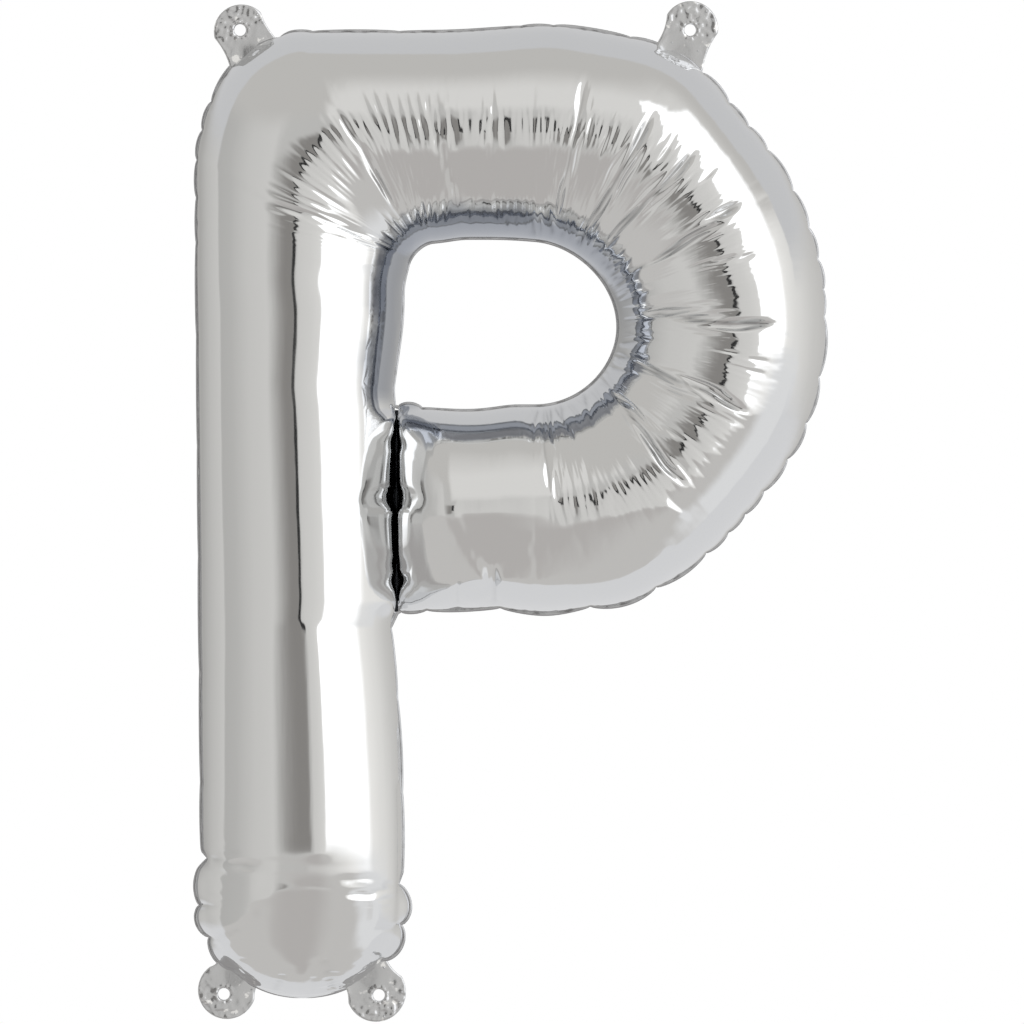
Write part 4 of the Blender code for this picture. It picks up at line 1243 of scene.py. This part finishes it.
def tabOutline(head, radius, ends):
    head, ends = np.array(head), [np.array(end) for end in ends]
    middle = (ends[0] + ends[1]) / 2
    inward = (middle - head) / np.linalg.norm(middle - head)
    base = math.atan2(inward[1], inward[0])
    flanks = []
    for end in ends:
        way = end - head
        side = 1 if inward[0] * way[1] - inward[1] * way[0] > 0 else -1
        lean = math.acos(min(1, radius / np.linalg.norm(way))) + math.radians(tabShape["flankTurn"])
        turn = math.atan2(way[1], way[0]) + side * lean
        touch = head + radius * np.array((math.cos(turn), math.sin(turn)))
        across = np.array((-inward[1], inward[0])) * side
        control = (touch + end) / 2 - across * tabShape["waist"] * np.linalg.norm(end - touch)
        flanks.append((side, turn, bendRun(touch, control, end, 16)))
    flanks.sort(key=lambda flank: flank[0])
    (_, turnA, flankA), (_, turnB, flankB) = flanks
    start = (turnB - base) % (2 * math.pi)
    finish = (turnA - base) % (2 * math.pi)
    arc = base + np.linspace(start, finish, 60)
    rim = head + radius * np.stack([np.cos(arc), np.sin(arc)], 1)
    deep = inward * tabShape["footDepth"]
    return np.concatenate([flankB[::-1], rim, flankA, [flankA[-1] + deep, flankB[-1] + deep]])


def reachTo(outline, centre, turns):
    # how far the outline lies from the centre, all round
    reach = []
    gap = outline - np.array(centre)
    span = np.roll(outline, -1, axis=0) - outline
    for turn in range(turns):
        angle = 2 * math.pi * turn / turns
        way = np.array((math.cos(angle), math.sin(angle)))
        cross = way[0] * span[:, 1] - way[1] * span[:, 0]
        cross = np.where(np.abs(cross) < 1e-9, 1e-9, cross)
        along = (gap[:, 0] * span[:, 1] - gap[:, 1] * span[:, 0]) / cross
        share = (gap[:, 0] * way[1] - gap[:, 1] * way[0]) / cross
        hits = along[(share >= -1e-6) & (share <= 1 + 1e-6) & (along > 0)]
        reach.append(hits.max())
    return np.array(reach)


def platePiece(name, centre, holeRadius, reach, rings, thickness, lift):
    turns = len(reach)
    points, faces = [], []
    for side in (-1, 1):
        for ring in range(rings + 1):
            share = ring / rings
            # thinner at its edges, which rounds them
            thin = 0.35 if ring in (0, rings) else 1.0
            for turn in range(turns):
                angle = 2 * math.pi * turn / turns
                far = holeRadius + (reach[turn] - holeRadius) * share
                x, z = centre[0] + far * math.cos(angle), centre[1] + far * math.sin(angle)
                y = lift(x, z, far - holeRadius) + side * thin * thickness / 2
                points.append((x * mm, y * mm, z * mm))
    layer = (rings + 1) * turns
    for ring in range(rings):
        for turn in range(turns):
            a, b = ring * turns + turn, ring * turns + (turn + 1) % turns
            faces.append((a, b, b + turns, a + turns))
            faces.append((layer + a, layer + a + turns, layer + b + turns, layer + b))
    for turn in range(turns):
        a, b = turn, (turn + 1) % turns
        faces.append((a, layer + a, layer + b, b))
        a, b = rings * turns + a, rings * turns + b
        faces.append((a, b, layer + b, layer + a))
    return newPiece(name, points, faces)


def dotTree():
    tree, given = newTree("weldDots", [
        ("Centre", "Vector", (0, 0, 0)), ("Ring Radius", "Float", 0.008), ("Count", "Int", 12),
        ("Dot Size", "Float", 0.0003), ("Seed", "Int", 1), ("Material", "Material", None)])
    ring = addNode(tree, "GeometryNodeMeshCircle", None, None,
                   {"Vertices": given["Count"], "Radius": given["Ring Radius"]})
    upright = addNode(tree, "GeometryNodeTransform", None, {"Rotation": (math.pi / 2, 0, 0)},
                      {"Geometry": ring.outputs[0], "Translation": given["Centre"]})
    keep = addNode(tree, "FunctionNodeRandomValue", {"data_type": "BOOLEAN"},
                   {"Probability": tabShape["dotShare"]}, {"Seed": given["Seed"]})
    least, most = tabShape["dotSpread"]
    size = addNode(tree, "FunctionNodeRandomValue", {"data_type": "FLOAT"}, {2: least, 3: most},
                   {"Seed": given["Seed"]})
    bead = addNode(tree, "GeometryNodeMeshIcoSphere", None, {"Subdivisions": 2},
                   {"Radius": given["Dot Size"]})
    spread = addNode(tree, "GeometryNodeInstanceOnPoints", None, None,
                     {"Points": upright.outputs[0], "Selection": keep.outputs[3], "Instance": bead.outputs[0],
                      "Scale": size.outputs[1]})
    both = addNode(tree, "GeometryNodeJoinGeometry", links={"Geometry": given["Geometry"]})
    tree.links.new(spread.outputs[0], both.inputs[0])
    finishTree(tree, both.outputs[0], given["Material"])
    return tree


def tabMaterial():
    # grey, slightly clear welded film: satin, with painted white glints in patches
    material, tree, shader, place = newMaterial("doubled clear-coated film", 1.0, tabShape["roughness"])
    patches = addNode(tree, "ShaderNodeTexNoise", None,
                      {"Scale": 1 / (tabShape["glintSize"] * mm), "Detail": 3.0}, {"Vector": place})
    # painted highlights: where the noise passes this band the colour goes to white
    plain, bright = tabShape["glintBand"]
    paintedGlints = addNode(tree, "ShaderNodeMapRange", {"interpolation_type": "SMOOTHSTEP"},
                     {"From Min": plain, "From Max": bright}, {"Value": patches.outputs["Fac"]})
    tone = addNode(tree, "ShaderNodeMix", {"data_type": "RGBA"},
                   {6: hexColour(tabShape["colour"]), 7: hexColour(tabShape["glintColour"])},
                   {0: paintedGlints.outputs[0]})
    tree.links.new(tone.outputs[2], shader.inputs["Base Color"])
    fine = addNode(tree, "ShaderNodeTexNoise", None,
                   {"Scale": 1 / (tabShape["grainSize"] * mm), "Detail": 2.0}, {"Vector": place})
    relief = addNode(tree, "ShaderNodeBump", None,
                     {"Strength": tabShape["grainStrength"], "Distance": tabShape["grainHeight"] * mm},
                     {"Height": fine.outputs["Fac"]})
    tree.links.new(relief.outputs[0], shader.inputs["Normal"])
    return material


def uneven(scale, layer, x, z):
    return noise.noise(Vector((x * tabShape[scale], layer, z * tabShape[scale])))


def buildTabs():
    material, tree = tabMaterial(), dotTree()
    for number, (name, (node, head, radius, hole, footA, footB)) in enumerate(tabs.items()):
        outline = tabOutline(head, radius, (footA, footB))
        reach = reachTo(outline, hole, tabShape["turns"])
        foot = (np.array(footA) + np.array(footB)) / 2

        def lift(x, z, fromHole):
            # smooth towards its foot, crumpled towards its rim, with a ragged lip round the hole
            outward = min(1, max(0, math.dist((x, z), foot) / radius - 0.35))
            wave = uneven("waveScale", number * 9.0, x, z)
            crumple = uneven("crumpleScale", number * 5.0 + 3, x, z)
            ragged = uneven("raggedScale", number * 3.0, x, z)
            near = math.exp(-((fromHole - tabShape["lipPlace"]) / tabShape["lipWidth"]) ** 2)
            lip = (tabShape["lip"] + tabShape["lipRaggedness"] * ragged) * near
            rumple = tabShape["rumple"] * (0.3 * wave + 0.55 * crumple * outward ** 2) * min(1, fromHole / 2)
            return (tabShape["lean"] * (x - head[0]) + rumple) * min(1, 2 * outward) - lip

        piece = platePiece(name, hole, tabShape["holeRadius"], reach, tabShape["rings"],
                           tabShape["thickness"], lift)
        # the beads lie partly in the front of the plate
        giveNodes(piece, tree, {"Centre": (head[0] * mm, -tabShape["dotForward"] * mm, head[1] * mm),
                                "Ring Radius": (radius - tabShape["dotInset"]) * mm,
                                "Count": tabShape["dots"], "Dot Size": tabShape["dotSize"] * mm,
                                "Seed": tabShape["seed"] + number, "Material": material})
        toPlainMesh(piece)
        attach(piece, "root")
        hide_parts(node)


buildTabs()
print("tabs made")


# filling valve: a small film patch on the back of the stem

valve = {
    "centre": (-59.6, -268.0), "radius": 8.5, "holeRadius": 2.0, "thickness": 0.3, "turns": 72, "rings": 12,
    "gap": 0.35,                    # its middle's height over the film
    "rippleHeight": 0.08, "rippleTurn": 4.5,
    "colour": "#c9cbcc", "frostColour": "#e3e5e6", "frostSize": 3.0, "roughness": 0.3,
}


def buildValve():
    back = filmPieces["backFilm"]
    surface = BVHTree.FromPolygons([vertex.co for vertex in back.data.vertices],
                                   [tuple(face.vertices) for face in back.data.polygons])

    def lift(x, z, fromHole):
        # from behind the balloon onto its back film
        hit = surface.ray_cast(Vector((x * mm, 0.08, z * mm)), Vector((0, -1, 0)))[0]
        return hit.y / mm + valve["gap"] + valve["rippleHeight"] * math.sin(fromHole * valve["rippleTurn"])

    reach = np.full(valve["turns"], valve["radius"])
    piece = platePiece("fillValve", valve["centre"], valve["holeRadius"], reach, valve["rings"],
                       valve["thickness"], lift)
    # thin glossy plastic with a frosty, slightly wavy surface
    material, tree, shader, place = newMaterial("clear valve film", 0.0, valve["roughness"])
    shader.inputs["IOR"].default_value = 1.5
    cloud = addNode(tree, "ShaderNodeTexNoise", None,
                    {"Scale": 1 / (valve["frostSize"] * mm), "Detail": 2.0}, {"Vector": place})
    tone = addNode(tree, "ShaderNodeMix", {"data_type": "RGBA"},
                   {6: hexColour(valve["colour"]), 7: hexColour(valve["frostColour"])},
                   {0: cloud.outputs["Fac"]})
    tree.links.new(tone.outputs[2], shader.inputs["Base Color"])
    piece.data.materials.append(material)
    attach(piece, "root")
    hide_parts("fill_valve")


buildValve()
print("valve made")
